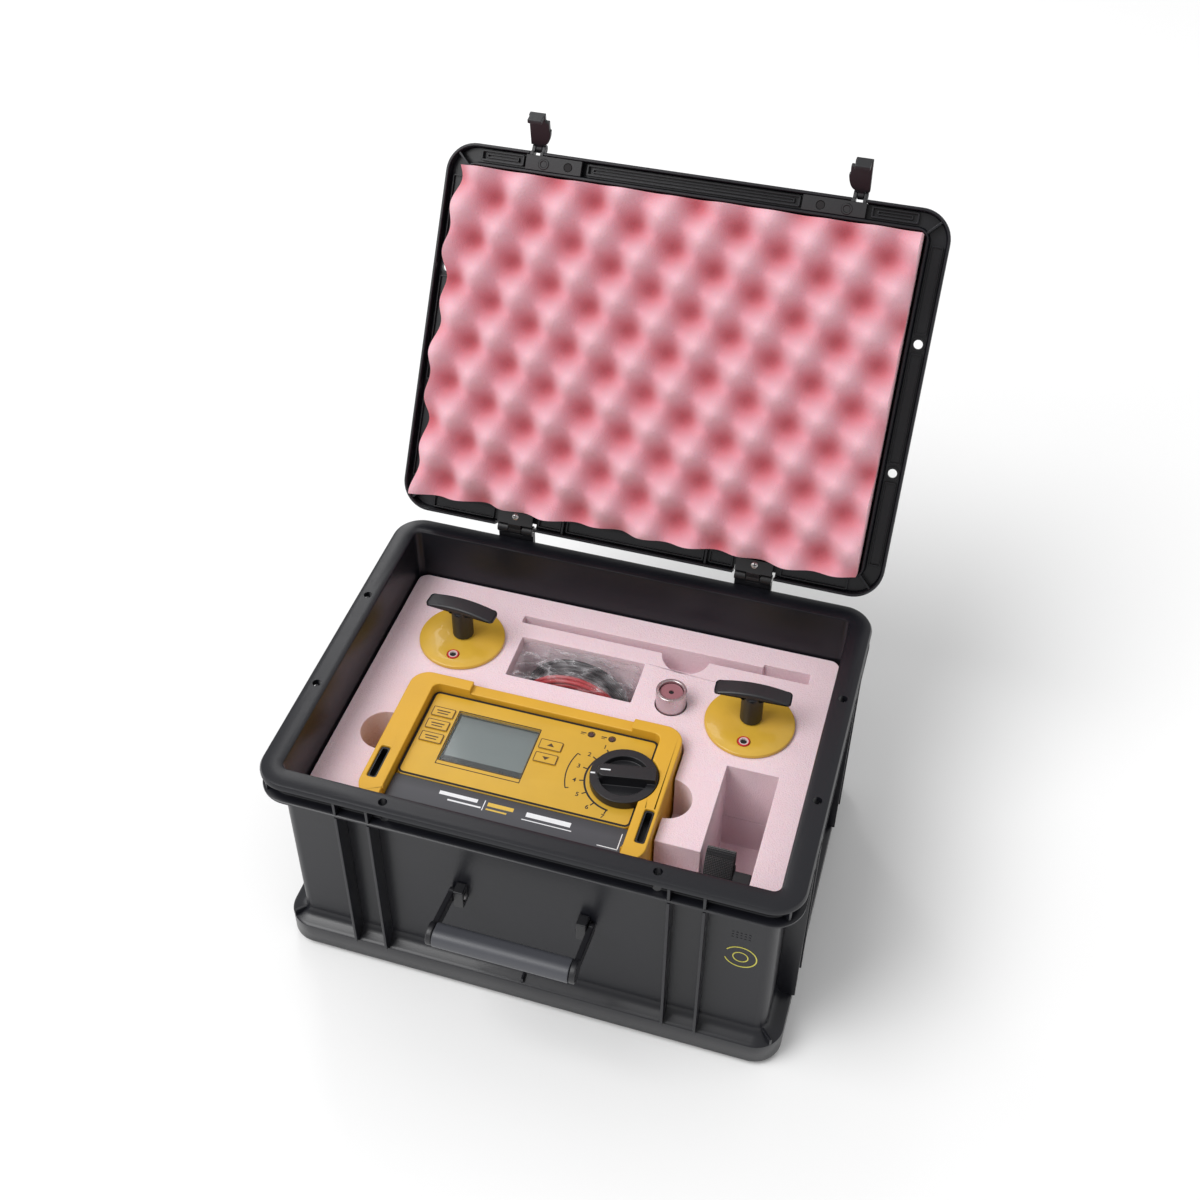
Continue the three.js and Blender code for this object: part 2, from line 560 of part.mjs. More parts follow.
// Drawn about its own axis as it hangs when hooked under the closed case's rim.
function latchLever({ inward }) {
  const y = LEVER.thick / 2;
  const top = -(LATCH.above - LEVER.top);
  const bottom = -(LATCH.above + LEVER.reach + LID.gap);
  const near = LEVER.outer;
  const far = LEVER.inner;
  const outline = new THREE.Shape();
  outline.moveTo(-near, top);
  outline.lineTo(-near, bottom);
  outline.lineTo(far - 4, bottom);
  outline.lineTo(far - 4, bottom + 6);
  outline.lineTo(far - 1, bottom + 6);
  outline.lineTo(far - 1, bottom + 14);
  outline.lineTo(far, bottom + 14);
  outline.quadraticCurveTo(far - 1, top, 3, top);
  const paddle = toSolid(new THREE.ExtrudeGeometry(outline, { depth: 2 * y, bevelEnabled: false })
    .rotateX(Math.PI / 2).translate(0, y, 0));
  const neck = box(-LATCH.neck / 2, LATCH.neck / 2, -y, y, top - 1, 0);
  const hub = rod('x', LATCH.barrelR, -LATCH.neck / 2, LATCH.neck / 2, 0, 0, 24);
  const trunnions = rod('x', LATCH.pinR, -LATCH.ears / 2, LATCH.ears / 2, 0, 0);
  const hook = box(-near + 1, far - 4.5, -y, y + LEVER.hook, bottom, bottom + LEVER.hookThick);
  const lever = join(paddle, neck, hub, trunnions, hook);
  return inward > 0 ? lever : lever.mirror([1, 0, 0]);
}

for (const latch of LATCHES) {
  place(lid, `latch_base_${latch.side}`, onLid(latchBase(latch)), darkPlastic);
  const lever = place(lid, `latch_lever_${latch.side}`, latchLever(latch), darkPlastic);
  lever.position.set(latch.x, latchY - hingeY, latchZ - hingeZ);
  lever.rotation.x = -THREE.MathUtils.degToRad(LEVER_REST_DEG);
}

// ---------------------------------------------------------------- handle

const handle = new THREE.Group();
handle.position.set(0, -(wallY + HANDLE.pivotOut), HANDLE.pivotZ);
handle.rotation.x = -THREE.MathUtils.degToRad(HANDLE.tiltDeg);
kit.add(handle);

function handleBracket(side) {
  const outer = HANDLE.armX - GAP;
  const [x0, x1] = [side * (outer - BRACKET.width), side * outer].sort((a, b) => a - b);
  const y = -(wallY + HANDLE.pivotOut);
  const half = BRACKET.height / 2;
  const plate = box(x0, x1, -(wallY + BRACKET.depth), -(wallY + GAP),
    HANDLE.pivotZ - half, HANDLE.pivotZ + half);
  return cut(plate, rod('x', BRACKET.stubR + GAP, x0 - 1, x1 + 1, y, HANDLE.pivotZ));
}

function handleBail() {
  const arms = [-1, 1].flatMap((side) => {
    const [x0, x1] = [side * HANDLE.armX, side * (HANDLE.armX + HANDLE.armThick)].sort((a, b) => a - b);
    const stubEnd = side * (HANDLE.armX - GAP - BRACKET.width);
    const [s0, s1] = [stubEnd, side * (HANDLE.armX + 1)].sort((a, b) => a - b);
    return [
      rod('x', 5, x0, x1, 0, 0),
      box(x0, x1, -HANDLE.length, 0, -4.5, 4.5),
      rod('x', GRIP.height / 2 + 1, x0, x1, -HANDLE.length, 0, 24),
      rod('x', BRACKET.stubR, s0, s1, 0, 0)];
  });
  const core = rod('x', GRIP.coreR, -HANDLE.armX - 1, HANDLE.armX + 1, -HANDLE.length, 0, 16);
  return join(arms, core);
}

function handleGrip() {
  const half = HANDLE.armX - GAP;
  const [w, h] = [GRIP.width / 2, GRIP.height / 2];
  const y = -HANDLE.length;
  const outline = roundedRect(-w, w, -h, h, h - 0.5);
  const sleeve = toSolid(new THREE.ExtrudeGeometry(outline,
    { depth: 2 * half, bevelEnabled: false, curveSegments: 4 })
    .rotateX(Math.PI / 2).rotateZ(Math.PI / 2).translate(-half, y, 0));
  return cut(sleeve, rod('x', GRIP.coreR + GAP, -half - 1, half + 1, y, 0, 16));
}

place(kit, 'handle_bracket_left', handleBracket(-1), darkPlastic);
place(kit, 'handle_bracket_right', handleBracket(1), darkPlastic);
place(handle, 'handle_bail', handleBail(), handlePlastic);
place(handle, 'handle_grip', handleGrip(), handlePlastic);

// ---------------------------------------------------------------- tester

function testerBumper() {
  const top = testerTop;
  const outer = roundedBox(testerX0, testerX1, testerY0, testerY1, TESTER.cornerR,
    TESTER.bottom, top, FINE_ARC);
  const well = roundedBox(wellX0, wellX1, wellY0, wellY1, PANEL.cornerR,
    TESTER.bottom + BUMPER.floor, top + 1, FINE_ARC);
  const dip = box(BUMPER_DIP[0], BUMPER_DIP[1], wellY1 - 2, testerY1 + 1,
    top - BUMPER.backDrop, top + 1);
  const front = box(wellX0, wellX1, testerY0 - 1, wellY0 + 2, panelTop - 0.8, top + 1);
  const knobRoom = rod('z', KNOB.r + KNOB.clear, panelTop - PANEL.thick, top + 1,
    KNOB.x, KNOB.y, BIG_ROUND);
  const lugs = [LUG.leftX, LUG.rightX].map((x) => roundedBox(
    x - LUG.width / 2, x + LUG.width / 2, LUG.y - LUG.length / 2, LUG.y + LUG.length / 2, 2,
    top - LUG.depth, top + 1));
  const batteryDoor = box(BATTERY.x - BATTERY.width / 2 - 3, BATTERY.x + BATTERY.width / 2 + 3,
    BATTERY.y - BATTERY.depth / 2 - 3, BATTERY.y + BATTERY.depth / 2 + 3,
    TESTER.bottom - 1, TESTER.bottom + BUMPER.floor + 1);
  const sockets = box(TESTER.x - SOCKET_BLOCK.width / 2, TESTER.x + SOCKET_BLOCK.width / 2,
    wellY1 - 1, testerY1 + 1, housingTop - 34, housingTop - 12);
  const hollowTop = top - LUG.depth - BUMPER.skin;
  const hollows = [[testerX0, wellX0], [wellX1, testerX1]].map(([x0, x1]) => (
    box(x0 + BUMPER.skin, x1 - BUMPER.skin, testerY0 + TESTER.cornerR, testerY1 - TESTER.cornerR,
      TESTER.bottom - 1, hollowTop)));
  return cut(outer, well, dip, front, knobRoom, lugs, batteryDoor, sockets, hollows);
}

const shellX0 = wellX0 + HOUSING.clear;
const shellX1 = wellX1 - HOUSING.clear;
const shellY0 = wellY0 + HOUSING.clear;
const shellY1 = wellY1 - HOUSING.clear;
const shellBottom = TESTER.bottom + BUMPER.floor + GAP;
const doorZ = shellBottom + HOUSING.wall;

function batteryBay(grow, z0, z1) {
  const [w, d] = [BATTERY.width / 2 + grow, BATTERY.depth / 2 + grow];
  return box(BATTERY.x - w, BATTERY.x + w, BATTERY.y - d, BATTERY.y + d, z0, z1);
}

function testerHousing() {
  const w = HOUSING.wall;
  const r = PANEL.cornerR - HOUSING.clear;
  const outer = roundedBox(shellX0, shellX1, shellY0, shellY1, r, shellBottom, housingTop,
    FINE_ARC);
  const inner = roundedBox(shellX0 + w, shellX1 - w, shellY0 + w, shellY1 - w, r - w,
    shellBottom + w, housingTop + 1);
  const socketRoom = box(TESTER.x - SOCKET_BLOCK.width / 2 - GAP,
    TESTER.x + SOCKET_BLOCK.width / 2 + GAP, shellY1 - w - 1, shellY1 + 1,
    housingTop - 32 - GAP, housingTop - 14 + GAP);
  const knobRoom = rod('z', KNOB.r + KNOB.clear, panelTop - PANEL.thick - GAP, testerTop + 1,
    KNOB.x, KNOB.y, BIG_ROUND);
  return cut(outer, inner, batteryBay(0, shellBottom - 1, doorZ + 1), socketRoom, knobRoom);
}

const panelX0 = wellX0 + PANEL.edge;
const panelX1 = wellX1 - PANEL.edge;
const panelY1 = wellY1 - PANEL.edge;
const panelBottom = panelTop - PANEL.thick;

function keyPlaces() {
  return KEY_ROWS.flatMap(({ names, x, y }) => names.map((name, n) => ({ name, x, y: y[n] })));
}

function facePanel() {
  const plate = cut(
    roundedBox(panelX0, panelX1, PANEL.split - 12, panelY1, PANEL.cornerR - PANEL.edge,
      panelBottom, panelTop, FINE_ARC),
    box(panelX0 - 1, panelX1 + 1, PANEL.split - 20, PANEL.split, 0, panelTop + 1));
  const window = box(WINDOW.x0, WINDOW.x1, WINDOW.y0, WINDOW.y1, panelBottom - 1, panelTop + 1);
  const [w, d] = [KEY.width / 2 + KEY.clear, KEY.depth / 2 + KEY.clear];
  const keys = keyPlaces().map(({ x, y }) => (
    box(x - w, x + w, y - d, y + d, panelBottom - 1, panelTop + 1)));
  const shaft = rod('z', SHAFT_R + 1, panelBottom - 1, panelTop + 1, KNOB.x, KNOB.y);
  const leds = LEDS.x.map((x) => (
    rod('z', LEDS.r + GAP, panelBottom - 1, panelTop + 1, x, LEDS.y, 16)));
  return cut(plate, window, keys, shaft, leds);
}

function labelStrip() {
  const y0 = wellY0 + PANEL.edge;
  const [z0, z1] = [panelBottom, panelTop - 0.6];
  const whole = roundedBox(panelX0, panelX1, y0, PANEL.split + 12, PANEL.cornerR - PANEL.edge, z0, z1,
    FINE_ARC);
  return cut(whole, box(panelX0 - 1, panelX1 + 1, PANEL.split - GAP, PANEL.split + 20, z0 - 1, z1 + 1));
}

function displayWindow() {
  return box(WINDOW.x0 + GAP, WINDOW.x1 - GAP, WINDOW.y0 + GAP, WINDOW.y1 - GAP,
    panelTop - WINDOW.thick - 0.4, panelTop - 0.4);
}

function displayModule() {
  const top = panelTop - WINDOW.thick - 0.4 - GAP;
  return box(WINDOW.x0 + 1, WINDOW.x1 - 1, WINDOW.y0 + 1, WINDOW.y1 - 1, top - DISPLAY_TALL, top);
}

function circuitBoard() {
  const i = HOUSING.wall + BOARD.inset;
  const plate = box(shellX0 + i, shellX1 - i, shellY0 + i, shellY1 - i,
    boardTop - BOARD.thick, boardTop);
  return cut(plate, rod('z', SHAFT_R + 1, 0, 200, KNOB.x, KNOB.y));
}

function ledPair() {
  const lenses = LEDS.x.map((x) => (
    rod('z', LEDS.r, boardTop + LEDS.foot, panelTop + 0.4, x, LEDS.y, 16)));
  const carrier = box(LEDS.x[0] - 3, LEDS.x[1] + 3, LEDS.y - 2.5, LEDS.y + 2.5,
    boardTop + GAP, boardTop + LEDS.foot + 1);
  return join(lenses, carrier);
}

function socketBlock() {
  const y1 = shellY1 - GAP;
  const x = TESTER.x;
  const z1 = housingTop - 14;
  const block = box(x - SOCKET_BLOCK.width / 2, x + SOCKET_BLOCK.width / 2,
    y1 - SOCKET_BLOCK.depth, y1, z1 - SOCKET_BLOCK.height, z1);
  const holes = SOCKET_BLOCK.holeX.map((dx) => (
    rod('y', SOCKET_BLOCK.holeR, y1 - 11, y1 + 1, x + dx, z1 - SOCKET_BLOCK.height / 2, 16)));
  return cut(block, holes);
}

function rotarySwitch() {
  const half = SWITCH.size / 2;
  const z1 = boardTop - BOARD.thick - GAP;
  const body = box(KNOB.x - half, Math.min(KNOB.x + half, shellX1 - HOUSING.wall - GAP),
    KNOB.y - half, KNOB.y + half, z1 - SWITCH.height, z1);
  return cut(body, rod('z', SHAFT_R + GAP, z1 - SWITCH.height + 2, z1 + 1, KNOB.x, KNOB.y));
}

function batteryPack() {
  return batteryBay(-1, doorZ + GAP, doorZ + GAP + BATTERY.height);
}

function batteryCover() {
  return join(batteryBay(2.4, TESTER.bottom, TESTER.bottom + BUMPER.floor),
    batteryBay(-0.5, TESTER.bottom + 1, doorZ));
}

place(kit, 'tester_bumper', testerBumper(), yellowShell);
place(kit, 'tester_housing', testerHousing(), yellowPanel);
place(kit, 'face_panel', facePanel(), yellowPanel);
place(kit, 'label_strip', labelStrip(), greyLabel);
place(kit, 'display_window', displayWindow(), glass);
place(kit, 'display_module', displayModule(), greyLabel);
place(kit, 'led_pair', ledPair(), ledRed);
place(kit, 'circuit_board', circuitBoard(), boardGreen);
place(kit, 'battery_pack', batteryPack(), batteryGrey);
place(kit, 'battery_cover', batteryCover(), darkPlastic);
place(kit, 'rotary_switch', rotarySwitch(), whitePlastic);
place(kit, 'socket_block', socketBlock(), darkPlastic);

function knobDial() {
  const z0 = panelTop + GAP;
  const disc = rod('z', KNOB.r, z0, knobTop, 0, 0, BIG_ROUND);
  const scoop = rod('z', KNOB.scoopR, knobTop - KNOB.scoopDepth, knobTop + 1, 0, 0, 36);
  const bar = join(
    box(KNOB_BAR.from + KNOB_BAR.width / 2, KNOB_BAR.to, -KNOB_BAR.width / 2, KNOB_BAR.width / 2,
      z0 + 1, knobTop + KNOB_BAR.rise),
    rod('z', KNOB_BAR.width / 2, z0 + 1, knobTop + KNOB_BAR.rise,
      KNOB_BAR.from + KNOB_BAR.width / 2, 0, 24))
    .intersect(rod('z', KNOB.r - 0.4, 0, testerTop + 20, 0, 0, BIG_ROUND));
  const shaftBottom = boardTop - BOARD.thick - SWITCH.height + 2.5;
  const shaft = rod('z', SHAFT_R, shaftBottom, z0 + 1, 0, 0);
  return join(cut(disc, scoop), bar, shaft).rotate([0, 0, KNOB_BAR.turnDeg])
    .translate([KNOB.x, KNOB.y, 0]);
}

place(kit, 'knob_dial', knobDial(), darkPlastic);

function panelKey({ x, y }) {
  const [w, d] = [KEY.width / 2, KEY.depth / 2];
  const flangeTop = panelBottom - GAP;
  const cap = box(x - w, x + w, y - d, y + d, flangeTop - KEY.flange, panelTop + KEY.proud);
  const flange = box(x - w - 1, x + w + 1, y - d - 1, y + d + 1, flangeTop - KEY.flange, flangeTop);
  const plunger = box(x - 2, x + 2, y - 2, y + 2, boardTop + KEY.plunger, flangeTop);
  return join(cap, flange, plunger);
}

for (const key of keyPlaces()) place(kit, key.name, panelKey(key), yellowPanel);

// ---------------------------------------------------------------- electrodes

function tHandle({ x, y, turnDeg }) {
  const { stemR, top, length, width, height, endR, crown, behind } = T_HANDLE;
  const half = length / 2;
  const outline = new THREE.Shape();
  outline.moveTo(-half, -height + crown);
  outline.lineTo(half, -height + crown);
  outline.lineTo(half, -crown - 0.5);
  outline.quadraticCurveTo(half / 2, 0, 0, 0);
  outline.quadraticCurveTo(-half / 2, 0, -half, -crown - 0.5);
  const crowned = toSolid(new THREE.ExtrudeGeometry(outline,
    { depth: width, bevelEnabled: false, curveSegments: 8 })
    .rotateX(Math.PI / 2).translate(0, width / 2, top));
  const plan = roundedBox(-half, half, -width / 2, width / 2, endR, top - height - 2, top + 1);
  const stem = rod('z', stemR, capTop + GAP, top - crown - 2, 0, 0, 28);
  return join(crowned.intersect(plan), stem).rotate([0, 0, turnDeg]).translate([x, y + behind, 0]);
}

function jackRing(x, y) {
  const bottom = capBottom - JACK.depth;
  const body = rod('z', JACK.r, bottom, capTop + JACK.proud, x, y, 20);
  return cut(body, rod('z', JACK.holeR, bottom + 1, capTop + 2, x, y));
}

for (const electrode of ELECTRODES) {
  const { side, x, y } = electrode;
  const { weightR, padH, capR, weightH } = ELECTRODE;
  const jackY = y - JACK.ahead;
  const cap = cut(
    lathe([[0, capBottom], [capR, capBottom], [capR, capTop - CAP_BEVEL], [capR - CAP_BEVEL, capTop],
      [0, capTop]], BIG_ROUND).translate([x, y, 0]),
    rod('z', JACK.r + GAP, capBottom - 1, capTop + 1, x, jackY, 20));
  const weight = cut(rod('z', weightR, weightTop - weightH, weightTop, x, y, 36),
    rod('z', JACK.r + GAP, capBottom - JACK.depth - GAP, weightTop + 1, x, jackY, 20));
  const pad = rod('z', weightR - GAP, padBottom, padBottom + padH, x, y, 36);
  place(kit, `electrode_cap_${side}`, cap, capYellow);
  place(kit, `electrode_weight_${side}`, weight, steel);
  place(kit, `electrode_pad_${side}`, pad, padRubber);
  place(kit, `electrode_handle_${side}`, tHandle(electrode), darkPlastic);
  place(kit, `electrode_jack_${side}`, jackRing(x, jackY), jackRed);
}

// ---------------------------------------------------------------- hand probe

const probeBottom = PROBE.top - PROBE.length;
const probeSleeve = cut(
  rod('z', PROBE.r, probeBottom, PROBE.top, PROBE.x, PROBE.y, 32),
  rod('z', PROBE.r - PROBE.wall, probeBottom - 1, PROBE.top + 1, PROBE.x, PROBE.y, 32));
const probeCore = cut(
  rod('z', PROBE.r - PROBE.wall - GAP, probeBottom, PROBE.top - PROBE.dish, PROBE.x, PROBE.y, 28),
  rod('z', PROBE.holeR, PROBE.top - 26, PROBE.top + 1, PROBE.x, PROBE.y, 14));
place(kit, 'probe_sleeve', probeSleeve, steel);
place(kit, 'probe_core', probeCore, whitePlastic);

// ---------------------------------------------------------------- test leads in their bag

const bagMiddleX = (BAG.x0 + BAG.x1) / 2;
const coilZ = BAG.bottom + BAG.film + COIL.lift + COIL.outerR;

function leadCoil(y) {
  const half = COIL.thick / 2;
  const ring = lathe([[COIL.innerR, -half], [COIL.outerR, -half], [COIL.outerR, half],
    [COIL.innerR, half], [COIL.innerR, -half]], 36);
  return ring.rotate([90, 0, 0]).translate([bagMiddleX, y, coilZ]);
}

function leadPlug(y, drop) {
  const half = PLUG.length / 2;
  return rod('x', PLUG.r, bagMiddleX - half, bagMiddleX + half, y, coilZ + drop, 16);
}

function leadBag() {
  const f = BAG.film;
  return cut(box(BAG.x0, BAG.x1, BAG.y0, BAG.y1, BAG.bottom, BAG.top),
    box(BAG.x0 + f, BAG.x1 - f, BAG.y0 + f, BAG.y1 - f, BAG.bottom + f, BAG.top + 1));
}

for (const { colour, y } of LEADS) {
  const material = colour === 'red' ? leadRed : leadBlack;
  place(kit, `lead_coil_${colour}`, leadCoil(y), material);
  PLUG.drops.forEach((drop, n) => {
    place(kit, `lead_plug_${colour}_${n + 1}`, leadPlug(y, drop), material);
  });
}
place(kit, 'lead_bag', leadBag(), film);

// ---------------------------------------------------------------- neck strap

function strapWebbing() {
  const run = (STRAP.y1 - STRAP.y0) / STRAP.folds;
  const slots = Array.from({ length: STRAP.folds - 1 }, (_, n) => {
    const y = STRAP.y0 + run * (n + 1);
    const [z0, z1] = n % 2 ? [STRAP.bottom - 1, STRAP.top - 8] : [STRAP.bottom + 8, STRAP.top + 1];
    return box(STRAP.x0 - 1, STRAP.x1 + 1, y - 1, y + 1, z0, z1);
  });
  return cut(box(STRAP.x0, STRAP.x1, STRAP.y0, STRAP.y1, STRAP.bottom, STRAP.top), slots);
}

function strapBuckle() {
  const b = BUCKLE.bar;
  return cut(box(BUCKLE.x0, BUCKLE.x1, BUCKLE.y0, BUCKLE.y1, BUCKLE.bottom, BUCKLE.top),
    box(BUCKLE.x0 - 1, BUCKLE.x1 + 1, BUCKLE.y0 + b, BUCKLE.y1 - b, BUCKLE.bottom + b, BUCKLE.top - b));
}

place(kit, 'strap_webbing', strapWebbing(), webbing);
place(kit, 'strap_buckle', strapBuckle(), darkPlastic);

export default kit;
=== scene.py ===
import json
import math

import bmesh
import bpy
import numpy as np
from mathutils import Matrix, Vector


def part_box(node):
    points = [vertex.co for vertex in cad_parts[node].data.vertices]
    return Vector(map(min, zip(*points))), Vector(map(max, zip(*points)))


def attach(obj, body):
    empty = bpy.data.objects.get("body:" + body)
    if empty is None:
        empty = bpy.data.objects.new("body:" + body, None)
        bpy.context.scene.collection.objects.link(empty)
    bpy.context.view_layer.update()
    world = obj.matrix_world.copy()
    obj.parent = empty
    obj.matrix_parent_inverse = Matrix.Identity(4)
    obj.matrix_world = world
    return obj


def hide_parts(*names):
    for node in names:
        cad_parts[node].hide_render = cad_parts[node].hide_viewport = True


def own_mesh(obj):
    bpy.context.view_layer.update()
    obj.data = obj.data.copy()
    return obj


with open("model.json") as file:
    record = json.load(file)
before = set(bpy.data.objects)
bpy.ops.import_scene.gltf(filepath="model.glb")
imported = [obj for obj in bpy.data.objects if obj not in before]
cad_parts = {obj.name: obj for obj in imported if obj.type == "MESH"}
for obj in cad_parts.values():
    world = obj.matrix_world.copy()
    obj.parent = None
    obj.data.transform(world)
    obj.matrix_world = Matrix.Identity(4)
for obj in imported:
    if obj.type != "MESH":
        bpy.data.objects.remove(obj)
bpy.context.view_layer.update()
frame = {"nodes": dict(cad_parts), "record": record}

MM = 0.001


# ---------------------------------------------------------------- places from the frame

class Box:
    """A node's box, in millimetres."""

    def __init__(self, node):
        low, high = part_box(node)
        self.x0, self.y0, self.z0 = (value / MM for value in low)
        self.x1, self.y1, self.z1 = (value / MM for value in high)
        self.x, self.y, self.z = (
            (self.x0 + self.x1) / 2, (self.y0 + self.y1) / 2, (self.z0 + self.z1) / 2)
        self.w, self.d, self.h = self.x1 - self.x0, self.y1 - self.y0, self.z1 - self.z0


JOINTS = {j["name"]: j for j in frame["record"]["behaviour"]["joints"]}
HINGE_Y, HINGE_Z = (value / MM for value in JOINTS["lid_hinge"]["pos_m"][1:])
LID_OPEN = math.radians(-JOINTS["lid_hinge"]["range_deg"][0])

tub = Box("case_tub")
bumper = Box("tester_bumper")
panel = Box("face_panel")
label = Box("label_strip")
window = Box("display_window")
knob = Box("knob_dial")
bag = Box("lead_bag")
webbing = Box("strap_webbing")

# Turns what is drawn on the closed lid to where the open lid is.
LID_TURN = (
    Matrix.Translation((0, HINGE_Y * MM, HINGE_Z * MM))
    @ Matrix.Rotation(-LID_OPEN, 4, "X")
    @ Matrix.Translation((0, -HINGE_Y * MM, -HINGE_Z * MM))
)
LID_Z = tub.z1 + 0.5


# ---------------------------------------------------------------- camera and light

CAMERA = {"place": (0.2394, -0.7649, 1.0765), "azimuth": 18.49, "elevation": 42.87, "roll": -1.07}
LENS = {"focal": 47.36, "shift_x": 0.0378, "shift_y": -0.032}


def make_camera():
    azimuth, elevation, roll = (
        math.radians(CAMERA[key]) for key in ("azimuth", "elevation", "roll"))
    back = Vector((math.sin(azimuth) * math.cos(elevation),
                   -math.cos(azimuth) * math.cos(elevation), math.sin(elevation)))
    side = (-back).cross(Vector((0, 0, 1))).normalized()
    up = side.cross(-back)
    right = side * math.cos(roll) + up * math.sin(roll)
    over = up * math.cos(roll) - side * math.sin(roll)
    data = bpy.data.cameras.new("camera")
    data.lens = LENS["focal"]
    data.sensor_width = 36
    data.shift_x = LENS["shift_x"]
    data.shift_y = LENS["shift_y"]
    data.clip_start = 0.05
    camera = bpy.data.objects.new("camera", data)
    turn = Matrix((right, over, back)).transposed().to_4x4()
    camera.matrix_world = Matrix.Translation(CAMERA["place"]) @ turn
    bpy.context.scene.collection.objects.link(camera)
    bpy.context.scene.camera = camera


def make_light(name, place, aim, size, power, colour=(1, 1, 1)):
    data = bpy.data.lights.new(name, "AREA")
    data.shape = "RECTANGLE"
    data.size, data.size_y = size
    data.energy = power
    data.color = colour
    light = bpy.data.objects.new(name, data)
    turn = (Vector(place) - Vector(aim)).to_track_quat("Z", "Y")
    light.matrix_world = Matrix.Translation(place) @ turn.to_matrix().to_4x4()
    bpy.context.scene.collection.objects.link(light)


def make_studio():
    aim = (0, 0, 0.2)
    make_light("key_light", (-1.0, -1.2, 1.7), aim, (1.0, 1.0), 9)
    make_light("strip_light", (-0.9, 1.3, 1.4), aim, (0.3, 1.6), 5)
    data = bpy.data.lights.new("soft_sun", "SUN")
    data.energy = 1.5
    data.angle = math.radians(35)
    sun = bpy.data.objects.new("soft_sun", data)
    sun.matrix_world = Vector((-0.5, -0.35, 1.0)).to_track_quat("Z", "Y").to_matrix().to_4x4()
    bpy.context.scene.collection.objects.link(sun)
    bpy.context.scene.view_settings.view_transform = "Standard"
    world = bpy.data.worlds.new("studio")
    bpy.context.scene.world = world
    world.use_nodes = True
    sky = world.node_tree.nodes["Background"]
    sky.inputs["Color"].default_value = (1, 1, 1, 1)
    sky.inputs["Strength"].default_value = 0.66


make_camera()
make_studio()


# ---------------------------------------------------------------- shader maths

class Wire:
    """An output socket that can stand in an expression."""

    def __init__(self, finish, socket):
        self.finish = finish
        self.socket = socket

    def maths(self, operation, *values):
        return self.finish.node("ShaderNodeMath", {"operation": operation}, dict(enumerate(values)))

    def __add__(self, other):
        return self.maths("ADD", self, other)

    __radd__ = __add__

    def __sub__(self, other):
        return self.maths("SUBTRACT", self, other)

    def __rsub__(self, other):
        return self.maths("SUBTRACT", other, self)

    def __mul__(self, other):
        return self.maths("MULTIPLY", self, other)

    __rmul__ = __mul__

    def __truediv__(self, other):
        return self.maths("DIVIDE", self, other)

    def __gt__(self, other):
        return self.maths("GREATER_THAN", self, other)

    def __lt__(self, other):
        return self.maths("LESS_THAN", self, other)

    def __mod__(self, other):
        return self.maths("FLOORED_MODULO", self, other)

    def __abs__(self):
        return self.maths("ABSOLUTE", self)


class Finish:
    """One material, with the nodes that feed its principled shader."""

    def __init__(self, name, **constants):
        self.material = bpy.data.materials.new(name)
        self.material.use_nodes = True
        self.tree = self.material.node_tree
        self.shader = self.tree.nodes["Principled BSDF"]
        self.set(**constants)

    def set(self, **values):
        for key, value in values.items():
            self.feed(self.shader.inputs[key.replace("_", " ").title().replace("Ior", "IOR")], value)

    def feed(self, socket, value):
        if isinstance(value, Wire):
            self.tree.links.new(value.socket, socket)
        elif isinstance(value, tuple) and len(value) == 3 and socket.type == "RGBA":
            socket.default_value = (*value, 1)
        else:
            socket.default_value = value

    def node(self, kind, settings=None, inputs=None, out=0):
        made = self.tree.nodes.new(kind)
        settings = dict(settings or {})
        stops = settings.pop("stops", ())
        if stops:
            made.color_ramp.elements.remove(made.color_ramp.elements[1])
        for number, (place, colour) in enumerate(stops):
            elements = made.color_ramp.elements
            stop = elements.new(place) if number else elements[0]
            stop.position = place
            stop.color = (*colour, 1) if isinstance(colour, tuple) else (colour,) * 3 + (1,)
        for key, value in settings.items():
            setattr(made, key, value)
        for key, value in (inputs or {}).items():
            self.feed(made.inputs[key], value)
        return Wire(self, made.outputs[out])

    def place(self, which="Object"):
        return self.node("ShaderNodeTexCoord", out=which)

    def axis(self, letter, which="Object"):
        return self.node("ShaderNodeSeparateXYZ", inputs={0: self.place(which)}, out=letter)

    def noise(self, grain, detail=2.0, stretch=(1, 1, 1)):
        """Noise whose features are grain metres wide, longer along a stretched axis."""
        where = self.node("ShaderNodeMapping", inputs={
            "Vector": self.place(), "Scale": tuple(1 / (grain * s) for s in stretch)})
        return self.node("ShaderNodeTexNoise", inputs={"Vector": where, "Scale": 1.0, "Detail": detail})

    def cells(self, grain, out="Distance"):
        where = self.node("ShaderNodeMapping", inputs={
            "Vector": self.place(), "Scale": (1 / grain,) * 3})
        return self.node("ShaderNodeTexVoronoi", inputs={"Vector": where, "Scale": 1.0}, out=out)

    def mix(self, first, second, share):
        return self.node("ShaderNodeMix", {"data_type": "RGBA"}, {0: share, 6: first, 7: second}, out=2)

    def ramp(self, value, *stops):
        return self.node("ShaderNodeValToRGB", {"stops": stops}, {0: value})

    def bump(self, height, depth, strength=1.0):
        self.set(Normal=self.node("ShaderNodeBump", inputs={
            "Height": height, "Distance": depth, "Strength": strength}))


def darker(colour, share):
    return tuple(channel * share for channel in colour)


